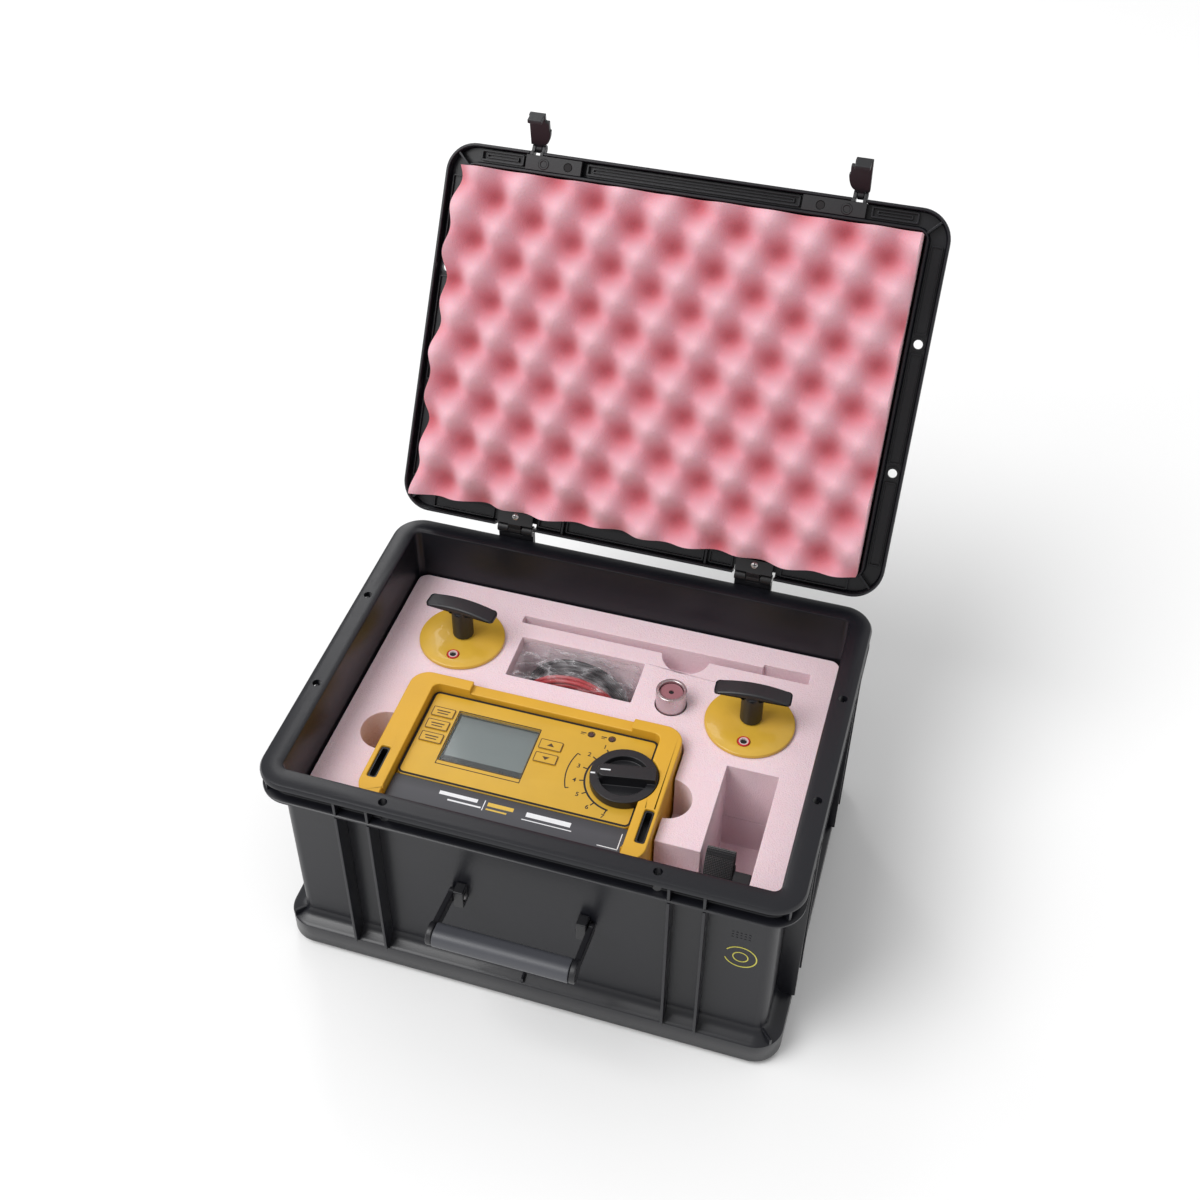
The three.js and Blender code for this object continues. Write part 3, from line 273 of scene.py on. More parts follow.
def moulded(name, colour, roughness, grain=0.0009, depth=0.00005, patch=0.06, **constants):
    """Moulded plastic: a fine eroded grain, slow shifts of tone and a few rubbed streaks."""
    finish = Finish(name, **constants)
    slow = finish.noise(patch, 3.0)
    streak = finish.noise(0.004, 3.0, (9, 1, 1))
    fine = finish.noise(grain, 2.0)
    finish.set(
        Base_Color=finish.mix(darker(colour, 0.86), tuple(min(1, c * 1.12) for c in colour), slow),
        Roughness=roughness - 0.07 + 0.1 * slow + 0.06 * streak)
    finish.bump(fine + 0.25 * streak, depth)
    return finish.material


def foam(name, pale, deep, grain=0.0016, depth=0.00022):
    """Open-cell foam: small cells, a matt nap and soft mottling."""
    finish = Finish(name, Subsurface_Weight=0.12, Subsurface_Scale=0.006, Sheen_Weight=0.25,
                    Sheen_Roughness=0.6, Specular_IOR_Level=0.2)
    cells = finish.cells(grain)
    slow = finish.noise(0.03, 3.0)
    fine = finish.noise(grain * 0.8, 4.0)
    share = 0.35 * slow + 0.3 * fine + 0.25 * cells
    finish.set(Base_Color=finish.mix(pale, deep, share), Roughness=0.9 + 0.08 * fine)
    finish.bump(cells + 0.8 * fine, depth)
    return finish


def egg_crate():
    """Convoluted foam with painted shade: the colour deepens down in the cups, standing in for the shade and
    the light bounced pink to pink there.
    """
    finish = foam("egg_foam", (0.7, 0.38, 0.44), (0.64, 0.3, 0.36))
    height = finish.node("ShaderNodeAttribute", {"attribute_name": "rise"}, out="Fac")
    slow = finish.noise(0.05, 2.0)
    # painted shade: darker, deeper pink down in the valleys, paler on the peaks, by the rise attribute
    shade = finish.ramp(height + 0.12 * slow, (0.0, (0.5, 0.11, 0.135)), (0.3, (0.62, 0.21, 0.255)),
                        (0.7, (0.68, 0.33, 0.39)), (1.0, (0.71, 0.4, 0.46)))
    finish.set(Base_Color=shade)
    return finish.material


def metal(name, colour, roughness, turned=None):
    """Steel: turned rings round a place, or a fine grain along the length."""
    finish = Finish(name, Metallic=1.0)
    if turned:
        where = finish.node("ShaderNodeVectorMath", {"operation": "SUBTRACT"},
                            {0: finish.place(), 1: tuple(turned)})
        flat = finish.node("ShaderNodeVectorMath", {"operation": "MULTIPLY"},
                           {0: where, 1: (1, 1, 0)})
        radius = finish.node("ShaderNodeVectorMath", {"operation": "LENGTH"}, {0: flat}, out="Value")
        lines = finish.node("ShaderNodeMath", {"operation": "SINE"}, {0: radius * (2 * math.pi / 0.0007)})
        bands = finish.noise(0.0012, 2.0, (40, 40, 1))
        height = 0.5 * lines + bands
    else:
        height = finish.noise(0.0008, 3.0, (14, 1, 1))
    slow = finish.noise(0.02, 2.0)
    finish.set(Base_Color=finish.mix(darker(colour, 0.88), colour, slow),
               Roughness=roughness + 0.12 * slow)
    finish.bump(height, 0.00003)
    return finish.material


def ink(name, colour, roughness=0.5):
    """Screen-printed ink: slightly uneven, with the mesh's faint dots."""
    finish = Finish(name)
    dots = finish.cells(0.0005)
    slow = finish.noise(0.006, 2.0)
    finish.set(Base_Color=finish.mix(darker(colour, 0.85), colour, slow), Roughness=roughness + 0.1 * dots)
    finish.bump(dots, 0.00001)
    return finish.material


def graded_label():
    """The foil label, with painted shade: darker near the panel, paler towards the user."""
    finish = Finish("label_foil")
    along = (finish.axis("Y") - label.y0 * MM) / (label.d * MM)
    fine = finish.noise(0.0006, 2.0)
    # painted shade along the edge by the panel
    shade = finish.ramp(along, (0.0, (0.05, 0.052, 0.06)), (0.6, (0.058, 0.059, 0.068)),
                        (1.0, (0.03, 0.031, 0.036)))
    finish.set(Base_Color=shade, Roughness=0.38 + 0.1 * fine)
    finish.bump(fine, 0.00002)
    return finish.material


def liquid_crystal():
    """The display's cell: grey-green, with the faint grid of its dots and a shaded upper edge."""
    finish = Finish("liquid_crystal", Coat_Weight=0.3, Coat_Roughness=0.1)
    dot = 0.0009
    across = (finish.axis("X") % dot) < dot * 0.12
    down = (finish.axis("Y") % dot) < dot * 0.12
    along = (window.y1 * MM - finish.axis("Y")) / (window.d * MM)
    shade = finish.ramp(along, (0.0, (0.05, 0.062, 0.06)), (0.07, (0.11, 0.135, 0.135)),
                        (0.25, (0.15, 0.185, 0.185)), (1.0, (0.175, 0.212, 0.21)))
    finish.set(Base_Color=finish.mix(shade, (0.1, 0.12, 0.12), 0.35 * (across + down)),
               Roughness=0.3 + 0.1 * finish.noise(0.01))
    return finish.material


def clear(name, colour, alpha, roughness, crease=None):
    """A clear sheet or pane; a film has creases, with painted highlights along them and in broad patches."""
    finish = Finish(name, Coat_Weight=1.0, Coat_Roughness=0.05)
    slow = finish.noise(0.01, 3.0)
    finish.set(Base_Color=finish.mix(darker(colour, 0.9), colour, slow), Roughness=roughness + 0.08 * slow,
               Alpha=alpha + 0.06 * slow)
    if crease:
        folds = abs(finish.noise(crease, 3.0, (2.2, 1, 1)) - 0.5) * 2
        # painted highlights: more opacity along the crease lines and in broad patches lets the pale film
        # colour show there
        sharp = finish.ramp(folds, (0.0, 1.0), (0.05, 0.3), (0.16, 0.0))
        patches = finish.ramp(finish.noise(crease * 1.6, 1.0), (0.45, 0.0), (0.7, 1.0))
        finish.set(Alpha=alpha + 0.3 * sharp + 0.12 * patches)
        finish.bump(sharp + 2.5 * finish.noise(crease, 3.0), 0.0015, 0.9)
    return finish.material


def woven():
    """Strap webbing: ribs across the length and a fine weave, along the strap's own map."""
    finish = Finish("strap_weave", Sheen_Weight=0.3, Specular_IOR_Level=0.3)
    along = finish.axis("Y", "UV")
    across = finish.axis("X", "UV")
    rib = finish.node("ShaderNodeMath", {"operation": "SINE"}, {0: along * (2 * math.pi / 0.0014)})
    warp = finish.node("ShaderNodeMath", {"operation": "SINE"}, {0: across * (2 * math.pi / 0.0013)})
    fibre = finish.noise(0.0006, 3.0)
    height = rib * 0.6 + warp * 0.4 + fibre
    finish.set(Base_Color=finish.mix((0.004, 0.004, 0.005), (0.016, 0.016, 0.019), 0.5 + 0.3 * rib),
               Roughness=0.7 + 0.2 * fibre)
    finish.bump(height, 0.0003)
    return finish.material


def board_green():
    """A circuit board: solder mask over straight copper runs."""
    finish = Finish("board_green", Coat_Weight=0.4, Coat_Roughness=0.2)
    runs = finish.node("ShaderNodeTexBrick", {"offset": 0.5}, {
        "Vector": finish.place(), "Scale": 90.0, "Mortar Size": 0.03}, out="Fac")
    fine = finish.noise(0.002)
    finish.set(Base_Color=finish.mix((0.015, 0.12, 0.045), (0.06, 0.22, 0.09), runs),
               Roughness=0.35 + 0.1 * fine)
    finish.bump(runs, 0.00004)
    return finish.material


AMBER = (0.67, 0.37, 0.025)
FINISHES = {
    "case": moulded("case_black", (0.0075, 0.0078, 0.011), 0.3, 0.0011, 0.00005, 0.12,
                     Specular_IOR_Level=0.4),
    "fitting": moulded("fitting_black", (0.008, 0.008, 0.01), 0.4),
    "handle": moulded("handle_black", (0.012, 0.012, 0.0145), 0.4, 0.0008, 0.00006),
    "grip": moulded("grip_black", (0.06, 0.062, 0.072), 0.4, 0.0008, 0.00006),
    "knob": moulded("knob_black", (0.008, 0.008, 0.01), 0.36, 0.0008),
    "holster": moulded("holster_amber", AMBER, 0.46, 0.0012, 0.00006, 0.05),
    "panel": moulded("panel_amber", (0.61, 0.36, 0.03), 0.4, 0.0008, 0.00002, 0.04),
    "cap": moulded("cap_lacquer", (0.64, 0.385, 0.04), 0.3, 0.002, 0.00003, 0.02, Coat_Weight=0.3),
    "pad_foam": foam("pad_foam", (0.87, 0.71, 0.75), (0.76, 0.53, 0.59), 0.0011, 0.0003).material,
    "egg_foam": egg_crate(),
    "label": graded_label(),
    "cell": liquid_crystal(),
    "pane": clear("window_pane", (0.3, 0.34, 0.34), 0.08, 0.05),
    "film": clear("bag_film", (0.86, 0.82, 0.86), 0.05, 0.08, crease=0.016),
    "webbing": woven(),
    "board": board_green(),
    "bright_steel": metal("bright_steel", (0.62, 0.6, 0.6), 0.24),
    "rubber_black": moulded("lead_black", (0.007, 0.007, 0.008), 0.3, 0.0012, 0.00004, 0.03),
    "rubber_red": moulded("lead_red", (0.4, 0.012, 0.018), 0.34, 0.0012, 0.00004, 0.03),
    "pad_rubber": moulded("pad_rubber", (0.02, 0.02, 0.02), 0.8, 0.0015, 0.0001),
    "jack_red": moulded("jack_red", (0.55, 0.02, 0.025), 0.3, 0.001, 0.00003),
    "jack_pale": moulded("jack_pale", (0.62, 0.5, 0.48), 0.35, 0.001, 0.00003),
    "white": moulded("white_plastic", (0.72, 0.68, 0.66), 0.45),
    "probe_core": moulded("probe_core", (0.3, 0.12, 0.14), 0.4, 0.001, 0.00004),
    "battery": moulded("battery_wrap", (0.05, 0.055, 0.065), 0.35),
    "lens": moulded("lamp_lens", (0.05, 0.012, 0.012), 0.12, Coat_Weight=1.0),
    "ink_white": ink("ink_white", (0.85, 0.86, 0.88)),
    "ink_dark": ink("ink_dark", (0.012, 0.012, 0.013)),
    "ink_brown": ink("ink_brown", (0.075, 0.04, 0.018)),
    "ink_amber": ink("ink_amber", (0.75, 0.5, 0.08)),
    "ink_yellow": ink("ink_yellow", (0.6, 0.55, 0.08)),
    # near-black painted shade for holes, bores, screw slots, small hollows and the gap round the panel, made
    # with the ink recipe; it also colours the display cell's own dark bar
    "hole": ink("hole_shade", (0.006, 0.006, 0.007), 0.7),
}


# ---------------------------------------------------------------- solids in millimetres

def corner_ring(x0, x1, y0, y1, r, z, arc=10):
    """A rectangle with round corners, as a ring of points."""
    points = []
    corners = ((x1 - r, y0 + r, -90), (x1 - r, y1 - r, 0), (x0 + r, y1 - r, 90), (x0 + r, y0 + r, 180))
    for cx, cy, start in corners:
        for step in range(arc + 1):
            angle = math.radians(start + 90 * step / arc)
            points.append((cx + r * math.cos(angle), cy + r * math.sin(angle), z))
    return points


class Form:
    """Closed solids gathered in one mesh; every size is in millimetres."""

    def __init__(self):
        self.bm = bmesh.new()

    def lofted(self, rings, closed=False):
        rows = [[self.bm.verts.new(point) for point in ring] for ring in rings]
        pairs = list(zip(rows, rows[1:] + rows[:1])) if closed else list(zip(rows, rows[1:]))
        for low, high in pairs:
            for i, vert in enumerate(low):
                after = (i + 1) % len(low)
                self.bm.faces.new((vert, low[after], high[after], high[i]))
        if not closed:
            self.bm.faces.new(rows[0][::-1])
            self.bm.faces.new(rows[-1])
        return self

    def block(self, x0, x1, y0, y1, z0, z1, turn=None):
        corners = [(x0, y0), (x1, y0), (x1, y1), (x0, y1)]
        rings = [[Vector((x, y, z)) for x, y in corners] for z in (z0, z1)]
        if turn:
            rings = [[turn @ point for point in ring] for ring in rings]
        return self.lofted(rings)

    def prism(self, outline, z0, z1):
        return self.lofted([[(x, y, z) for x, y in outline] for z in (z0, z1)])

    def rounded(self, x0, x1, y0, y1, r, z0, z1, edge=0.0, arc=8):
        """A rounded block whose top edge is rolled over by edge."""
        levels = [(0, z0)]
        steps = 4 if edge else 0
        for step in range(steps + 1):
            angle = math.radians(90 * step / max(steps, 1))
            levels.append((edge * (1 - math.cos(angle)), z1 - edge + edge * math.sin(angle)))
        return self.lofted([corner_ring(x0 + i, x1 - i, y0 + i, y1 - i, max(r - i, 0.2), z, arc)
                            for i, z in levels])

    def rod(self, axis, r, a, b, u, v, sides=32):
        return self.turned([(0, a), (r, a), (r, b), (0, b)], axis, u, v, sides)

    def turned(self, profile, axis="z", u=0.0, v=0.0, sides=64):
        """A profile of (radius, along) turned round an axis; it starts and ends on the axis."""
        order = {"x": (2, 0, 1), "y": (0, 2, 1), "z": (0, 1, 2)}[axis]
        rings = []
        for r, along in profile[1:-1]:
            ring = []
            for step in range(sides):
                angle = 2 * math.pi * step / sides
                local = (u + r * math.cos(angle), v + r * math.sin(angle), along)
                ring.append(tuple(local[i] for i in order))
            rings.append(ring)
        return self.lofted(rings)

    def hoop(self, profile, axis="z", u=0.0, v=0.0, sides=64):
        """A closed profile of (radius, along) that stays clear of the axis."""
        order = {"x": (2, 0, 1), "y": (0, 2, 1), "z": (0, 1, 2)}[axis]
        rings = []
        for step in range(sides):
            angle = 2 * math.pi * step / sides
            ring = []
            for r, along in profile:
                local = (u + r * math.cos(angle), v + r * math.sin(angle), along)
                ring.append(tuple(local[i] for i in order))
            rings.append(ring)
        return self.lofted(rings, closed=True)

    def bar(self, start, end, width, z0, z1):
        """A flat bar between two (x, y) points."""
        a, b = Vector(start), Vector(end)
        side = (b - a).orthogonal().normalized() * width / 2
        return self.prism([tuple(a + side), tuple(a - side), tuple(b - side), tuple(b + side)], z0, z1)

    def arc_band(self, x, y, r, width, start, end, z0, z1, steps=40):
        """Part of a flat ring, from one angle to another."""
        angles = [math.radians(start + (end - start) * i / steps) for i in range(steps + 1)]
        outer = [(x + (r + width / 2) * math.cos(a), y + (r + width / 2) * math.sin(a)) for a in angles]
        inner = [(x + (r - width / 2) * math.cos(a), y + (r - width / 2) * math.sin(a)) for a in angles]
        rings = []
        for (ox, oy), (ix, iy) in zip(outer, inner):
            rings.append([(ox, oy, z0), (ox, oy, z1), (ix, iy, z1), (ix, iy, z0)])
        return self.lofted(rings)

    def frame_band(self, x0, x1, y0, y1, width, z0, z1, r=0.8):
        """A flat rectangular outline."""
        outer = corner_ring(x0, x1, y0, y1, r, 0, 4)
        inner = corner_ring(x0 + width, x1 - width, y0 + width, y1 - width, max(r - width, 0.1), 0, 4)
        rings = []
        for (ox, oy, _), (ix, iy, _) in zip(outer, inner):
            rings.append([(ox, oy, z0), (ox, oy, z1), (ix, iy, z1), (ix, iy, z0)])
        return self.lofted(rings, closed=True)

    def mesh(self, name, turn=None):
        bmesh.ops.scale(self.bm, vec=(MM, MM, MM), verts=self.bm.verts)
        if turn:
            bmesh.ops.transform(self.bm, matrix=turn, verts=self.bm.verts)
        bmesh.ops.recalc_face_normals(self.bm, faces=self.bm.faces)
        data = bpy.data.meshes.new(name)
        self.bm.to_mesh(data)
        self.bm.free()
        return data


def normals_out(data):
    """Turns every face of a closed mesh outwards."""
    bm = bmesh.new()
    bm.from_mesh(data)
    bmesh.ops.recalc_face_normals(bm, faces=bm.faces)
    bm.to_mesh(data)
    bm.free()
    return data


def grid_edge(nx, ny):
    """The border of a grid of nx by ny squares, once round, as (i, j) places."""
    return ([(i, 0) for i in range(nx)] + [(nx, j) for j in range(ny)]
            + [(i, ny) for i in range(nx, 0, -1)] + [(0, j) for j in range(ny, 0, -1)])


def shown(name, data):
    item = bpy.data.objects.new(name, data)
    bpy.context.scene.collection.objects.link(item)
    return item


def applied(item):
    """Makes the modifiers' result the object's own mesh."""
    bpy.context.view_layer.update()
    result = bpy.data.meshes.new_from_object(item.evaluated_get(bpy.context.evaluated_depsgraph_get()))
    item.modifiers.clear()
    old = item.data
    item.data = result
    bpy.data.meshes.remove(old)
    return item


def carved(item, cutters, turn=None):
    """Cuts a form's solids out of an object."""
    tool = shown("tool", cutters.mesh("tool", turn))
    cut = item.modifiers.new("cut", "BOOLEAN")
    cut.operation = "DIFFERENCE"
    cut.solver = "EXACT"
    cut.object = tool
    applied(item)
    bpy.data.objects.remove(tool)
    return item


def smoothed(item, angle=32):
    item.data.shade_smooth()
    item.data.set_sharp_from_angle(angle=math.radians(angle))
    return item


def bevelled(item, width, segments=3, angle=28):
    """Rolls the sharp edges over, width in millimetres."""
    roll = item.modifiers.new("roll", "BEVEL")
    roll.width = width * MM
    roll.segments = segments
    roll.limit_method = "ANGLE"
    roll.angle_limit = math.radians(angle)
    roll.use_clamp_overlap = False
    roll.miter_outer = "MITER_ARC"
    smoothed(applied(item))
    level = item.modifiers.new("level", "WEIGHTED_NORMAL")
    level.keep_sharp = True
    return applied(item)


def worn(item, finish, body, *nodes, slot=None):
    """Gives a piece its finish and body, and says which nodes it stands for."""
    item.data.materials.clear()
    item.data.materials.append(FINISHES[finish])
    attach(item, body)
    if nodes:
        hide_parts(*nodes)
    return item


def piece(name, form, finish, body, *nodes, slot=None, turn=None, roll=0.0, angle=32):
    item = shown(name, form.mesh(name, turn))
    if roll:
        bevelled(item, roll)
    else:
        smoothed(item, angle)
    return worn(item, finish, body, *nodes, slot=slot)


def refined(node, finish, roll, segments=3, angle=28, joined=True):
    """A copy of a node's mesh with its flats joined and its edges rolled over."""
    source = frame["nodes"][node]
    bm = bmesh.new()
    bm.from_mesh(source.data)
    bmesh.ops.remove_doubles(bm, verts=bm.verts, dist=2e-6)
    if joined:
        bmesh.ops.dissolve_limit(bm, angle_limit=math.radians(1), verts=bm.verts, edges=bm.edges)
    data = bpy.data.meshes.new(node + "_finish")
    bm.to_mesh(data)
    bm.free()
    item = shown(node + "_finish", data)
    if roll:
        bevelled(item, roll, segments, angle)
    else:
        smoothed(item)
    slots = {part["node"]: part["material_slot"] for part in frame["record"]["subparts"]}
    return worn(item, finish, BODY_OF[node], node, slot=slots[node])


BODY_OF = {node: body for body, nodes in frame["record"]["behaviour"]["bodies"].items() for node in nodes}


# ---------------------------------------------------------------- what repeats

def repeating_tree(name, shape_nodes):
    """A tree that sets one shape at even steps along a line or round a centre."""
    tree = bpy.data.node_groups.new(name, "GeometryNodeTree")
    face = tree.interface
    face.new_socket("Geometry", in_out="OUTPUT", socket_type="NodeSocketGeometry")
    for label_text, kind in (("Count", "Int"), ("Start", "Vector"), ("Step", "Vector"),
                             ("Turn", "Float"), ("Centre", "Vector")):
        face.new_socket(label_text, in_out="INPUT", socket_type=f"NodeSocket{kind}")
    face.new_socket("Finish", in_out="INPUT", socket_type="NodeSocketMaterial")
    nodes, links = tree.nodes, tree.links
    given = nodes.new("NodeGroupInput")
    line = nodes.new("GeometryNodeMeshLine")
    links.new(given.outputs["Count"], line.inputs["Count"])
    links.new(given.outputs["Start"], line.inputs["Start Location"])
    links.new(given.outputs["Step"], line.inputs["Offset"])
    index = nodes.new("GeometryNodeInputIndex")
    angle = nodes.new("ShaderNodeMath")
    angle.operation = "MULTIPLY"
    links.new(index.outputs[0], angle.inputs[0])
    links.new(given.outputs["Turn"], angle.inputs[1])
    where = nodes.new("GeometryNodeInputPosition")
    spin = nodes.new("ShaderNodeVectorRotate")
    spin.rotation_type = "Z_AXIS"
    links.new(where.outputs[0], spin.inputs["Vector"])
    links.new(given.outputs["Centre"], spin.inputs["Center"])
    links.new(angle.outputs[0], spin.inputs["Angle"])
    moved = nodes.new("GeometryNodeSetPosition")
    links.new(line.outputs[0], moved.inputs["Geometry"])
    links.new(spin.outputs[0], moved.inputs["Position"])
    shape = shape_nodes(nodes, links)
    facing = nodes.new("ShaderNodeCombineXYZ")
    links.new(angle.outputs[0], facing.inputs["Z"])
    copies = nodes.new("GeometryNodeInstanceOnPoints")
    links.new(moved.outputs[0], copies.inputs["Points"])
    links.new(shape, copies.inputs["Instance"])
    links.new(facing.outputs[0], copies.inputs["Rotation"])
    real = nodes.new("GeometryNodeRealizeInstances")
    links.new(copies.outputs[0], real.inputs[0])
    painted = nodes.new("GeometryNodeSetMaterial")
    links.new(real.outputs[0], painted.inputs["Geometry"])
    links.new(given.outputs["Finish"], painted.inputs["Material"])
    result = nodes.new("NodeGroupOutput")
    links.new(painted.outputs[0], result.inputs[0])
    return tree


def cube_shape(size):
    def make(nodes, links):
        cube = nodes.new("GeometryNodeMeshCube")
        cube.inputs["Size"].default_value = tuple(value * MM for value in size)
        return cube.outputs[0]
    return make


def stud_shape(radius, height, sides=20):
    def make(nodes, links):
        stud = nodes.new("GeometryNodeMeshCylinder")
        stud.inputs["Vertices"].default_value = sides
        stud.inputs["Radius"].default_value = radius * MM
        stud.inputs["Depth"].default_value = height * MM
        return stud.outputs["Mesh"]
    return make


def repeated(name, shape, finish, body, count, start, step=(0, 0, 0), turn=0.0, centre=(0, 0, 0),
             place=None, roll=0.0, slot=None):
    """Count copies of a shape: along step, and turned by turn degrees each time round centre."""
    tree = repeating_tree(name + "_tree", shape)
    item = shown(name, bpy.data.meshes.new(name))
    modifier = item.modifiers.new("repeat", "NODES")
    modifier.node_group = tree
    values = {"Count": count, "Start": [v * MM for v in start], "Step": [v * MM for v in step],
              "Turn": math.radians(turn), "Centre": [v * MM for v in centre], "Finish": FINISHES[finish]}
    for socket in tree.interface.items_tree:
        if socket.in_out == "INPUT":
            modifier[socket.identifier] = values[socket.name]
    applied(item)
    if place:
        item.data.transform(place)
    if roll:
        bevelled(item, roll, 2)
    else:
        smoothed(item)
    return worn(item, finish, body, slot=slot)


# ---------------------------------------------------------------- test leads

LEAD = {"diameter": 3.6, "inner": 33.0, "outer": 44.6, "layer": 2.0, "turns": 5.5, "bend": 12.0}
LEAD_STEPS = 30


def lead_route(colour):
    """Out of the first plug, round the coil in two layers, and back into the second plug."""
    coil = Box(f"lead_coil_{colour}")
    first, second = Box(f"lead_plug_{colour}_1"), Box(f"lead_plug_{colour}_2")
    bend, inner = LEAD["bend"], LEAD["inner"]
    points = []

    def add(across, rise, depth):
        points.append((coil.x + across, coil.y + depth, coil.z + rise))

    low = first.z - coil.z
    high = second.z - coil.z
    half = first.w / 2
    start = (-inner, low + bend)
    add(-half + 4, low, -LEAD["layer"])
    add(-half, low, -LEAD["layer"])
    for step in range(7):
        angle = math.radians(-90 - 90 * step / 6)
        add(start[0] + bend + bend * math.cos(angle), start[1] + bend * math.sin(angle), -LEAD["layer"])
    total = int(LEAD["turns"] * LEAD_STEPS)
    for step in range(1, total):
        share = step / total
        out = 1 - abs(2 * share - 1)
        r = inner + (LEAD["outer"] - inner) * out
        change = min(max((share - 0.5) * total / 8, -1), 1)
        angle = math.radians(180 - 360 * LEAD["turns"] * share)
        blend = min(step, total - step, 6) / 6
        sink = (low + bend) * (1 - blend) if step < total / 2 else (high + bend) * (1 - blend)
        add(r * math.cos(angle), r * math.sin(angle) + sink * 0.5, LEAD["layer"] * change)
    for step in range(7):
        angle = math.radians(-90 * step / 6)
        add(inner - bend + bend * math.cos(angle), high + bend + bend * math.sin(angle), LEAD["layer"])
    add(half, high, LEAD["layer"] * 0.5)
    add(half - 4, high, 0)
    return points


def make_plug(colour, number, backwards):
    """A 4 mm plug: a ribbed sleeve with a collar, and a sprung pin."""
    plug = Box(f"lead_plug_{colour}_{number}")
    r = plug.h / 2 - 0.05
    sign = -1 if backwards else 1
    rear = plug.x1 if backwards else plug.x0
    sleeve = [(0, 0), (2.4, 0), (2.9, 1.5)]
    for n in range(5):
        at = 2 + n * 1.6
        sleeve += [(3.0, at), (3.4, at + 0.3), (3.4, at + 0.9), (3.0, at + 1.2)]
    sleeve += [(3.6, 11), (r, 13), (r, 26), (r - 0.5, 27), (r - 0.5, 27.6), (3.6, 28), (0, 28)]
    pin = [(0, 26), (1.6, 26), (1.6, 29), (2.0, 31), (2.0, 38), (1.5, 40.5), (0.9, 41.9), (0, 41.9)]
    placed = [(pr, rear + sign * along) for pr, along in sleeve]
    pin_placed = [(pr, rear + sign * along) for pr, along in pin]
    body = piece(f"plug_sleeve_{colour}_{number}",
                 Form().turned(placed, "x", plug.y, plug.z, 32), f"rubber_{colour}", "lead_bag",
                 f"lead_plug_{colour}_{number}", slot=f"lead_{colour}")
    tip = piece(f"plug_pin_{colour}_{number}",
                Form().turned(pin_placed, "x", plug.y, plug.z, 24), "bright_steel", "lead_bag",
                slot="steel")
    return [body, tip]


def make_lead(colour):
    points = lead_route(colour)
    curve = bpy.data.curves.new(f"test_lead_{colour}", "CURVE")
    curve.dimensions = "3D"
    curve.bevel_depth = LEAD["diameter"] / 2 * MM
    curve.bevel_resolution = 4
    curve.use_fill_caps = True
    spline = curve.splines.new("POLY")
    spline.points.add(len(points) - 1)
    for point, place in zip(spline.points, points):
        point.co = (*(value * MM for value in place), 1)
    lead = shown(f"test_lead_{colour}", curve)
    curve.materials.append(FINISHES[f"rubber_{colour}"])
    plugs = make_plug(colour, 1, False) + make_plug(colour, 2, True)
    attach(lead, "lead_bag")
    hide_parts(f"lead_coil_{colour}")
    tuple(value * MM for value in points[0])


for lead_colour in ("black", "red"):
    make_lead(lead_colour)


# ---------------------------------------------------------------- the case

WALL = WALL_X, WALL_Y = 185.0, 136.0
MOUTH = MOUTH_X, MOUTH_Y = 182.0, 133.0
RIM = RIM_X, RIM_Y = tub.w / 2, tub.d / 2
DOME = MOUTH_X + 2.5, MOUTH_Y + 2.5
TOP = tub.z1
HOLE_IN = 9


def skirt(steps):
    """A closed solid of rounded rectangles: how far out from a base size, corner radius, height."""
    return Form().lofted([corner_ring(-x - out, x + out, -y - out, y + out, r, z, 12)
                          for (x, y), out, r, z in steps])


def make_tub():
    """The tub's wall, rim, channel and plinth, from the inner floor to the underside."""
    form = skirt([
        (MOUTH, -8, 4, 8), (MOUTH, -2, 5, 8.4), (MOUTH, 0, 6, 11), (MOUTH, 0, 6, TOP - 1.6),
        (MOUTH, 0.5, 6.4, TOP - 0.5), (MOUTH, 1.7, 7.4, TOP),
        (RIM, -3, 21, TOP), (RIM, -1.2, 22.8, TOP - 0.6), (RIM, 0, 24, TOP - 2.6), (RIM, 0, 24, TOP - 4.4),
        (RIM, -0.8, 23.2, TOP - 5), (RIM, -7.5, 16.5, TOP - 5), (RIM, -8, 16, TOP - 6),
        (RIM, -8, 16, TOP - 16.8), (RIM, -7.4, 16.6, TOP - 17.5), (RIM, -0.8, 23.2, TOP - 17.5),
        (RIM, 0, 24, TOP - 18), (RIM, 0, 24, TOP - 19.4), (RIM, -0.8, 23.2, TOP - 20),
        (WALL, 1, 10, TOP - 20), (WALL, 0, 9, TOP - 21), (WALL, 0, 9, 34), (WALL, 0.7, 9.6, 31),
        (WALL, 2.6, 11, 28.6), (WALL, 5, 13, 27),
        (RIM, -5, 19, 25.6), (RIM, -3.4, 20.8, 25), (RIM, -2.5, 22, 24.2), (RIM, -2.5, 22, 5),
        (RIM, -3.2, 21.2, 4), (RIM, -5, 19.5, 4), (RIM, -5, 19.5, 22),
        (WALL, 0, 9, 22), (WALL, 0, 9, 4)])
    shell = shown("case_shell", form.mesh("case_shell"))
    holes = Form()
    for side in (-1, 1):
        holes.rod("z", 3.35, TOP - 25, TOP + 1, side * 100, -RIM_Y + HOLE_IN, 28)
        for end in (-1, 1):
            holes.rod("z", 3.35, TOP - 25, TOP + 1, side * (RIM_X - HOLE_IN), end * 50, 28)
    carved(shell, holes)
    worn(smoothed(shell, 35), "case", "case", "case_tub", slot="case_black")


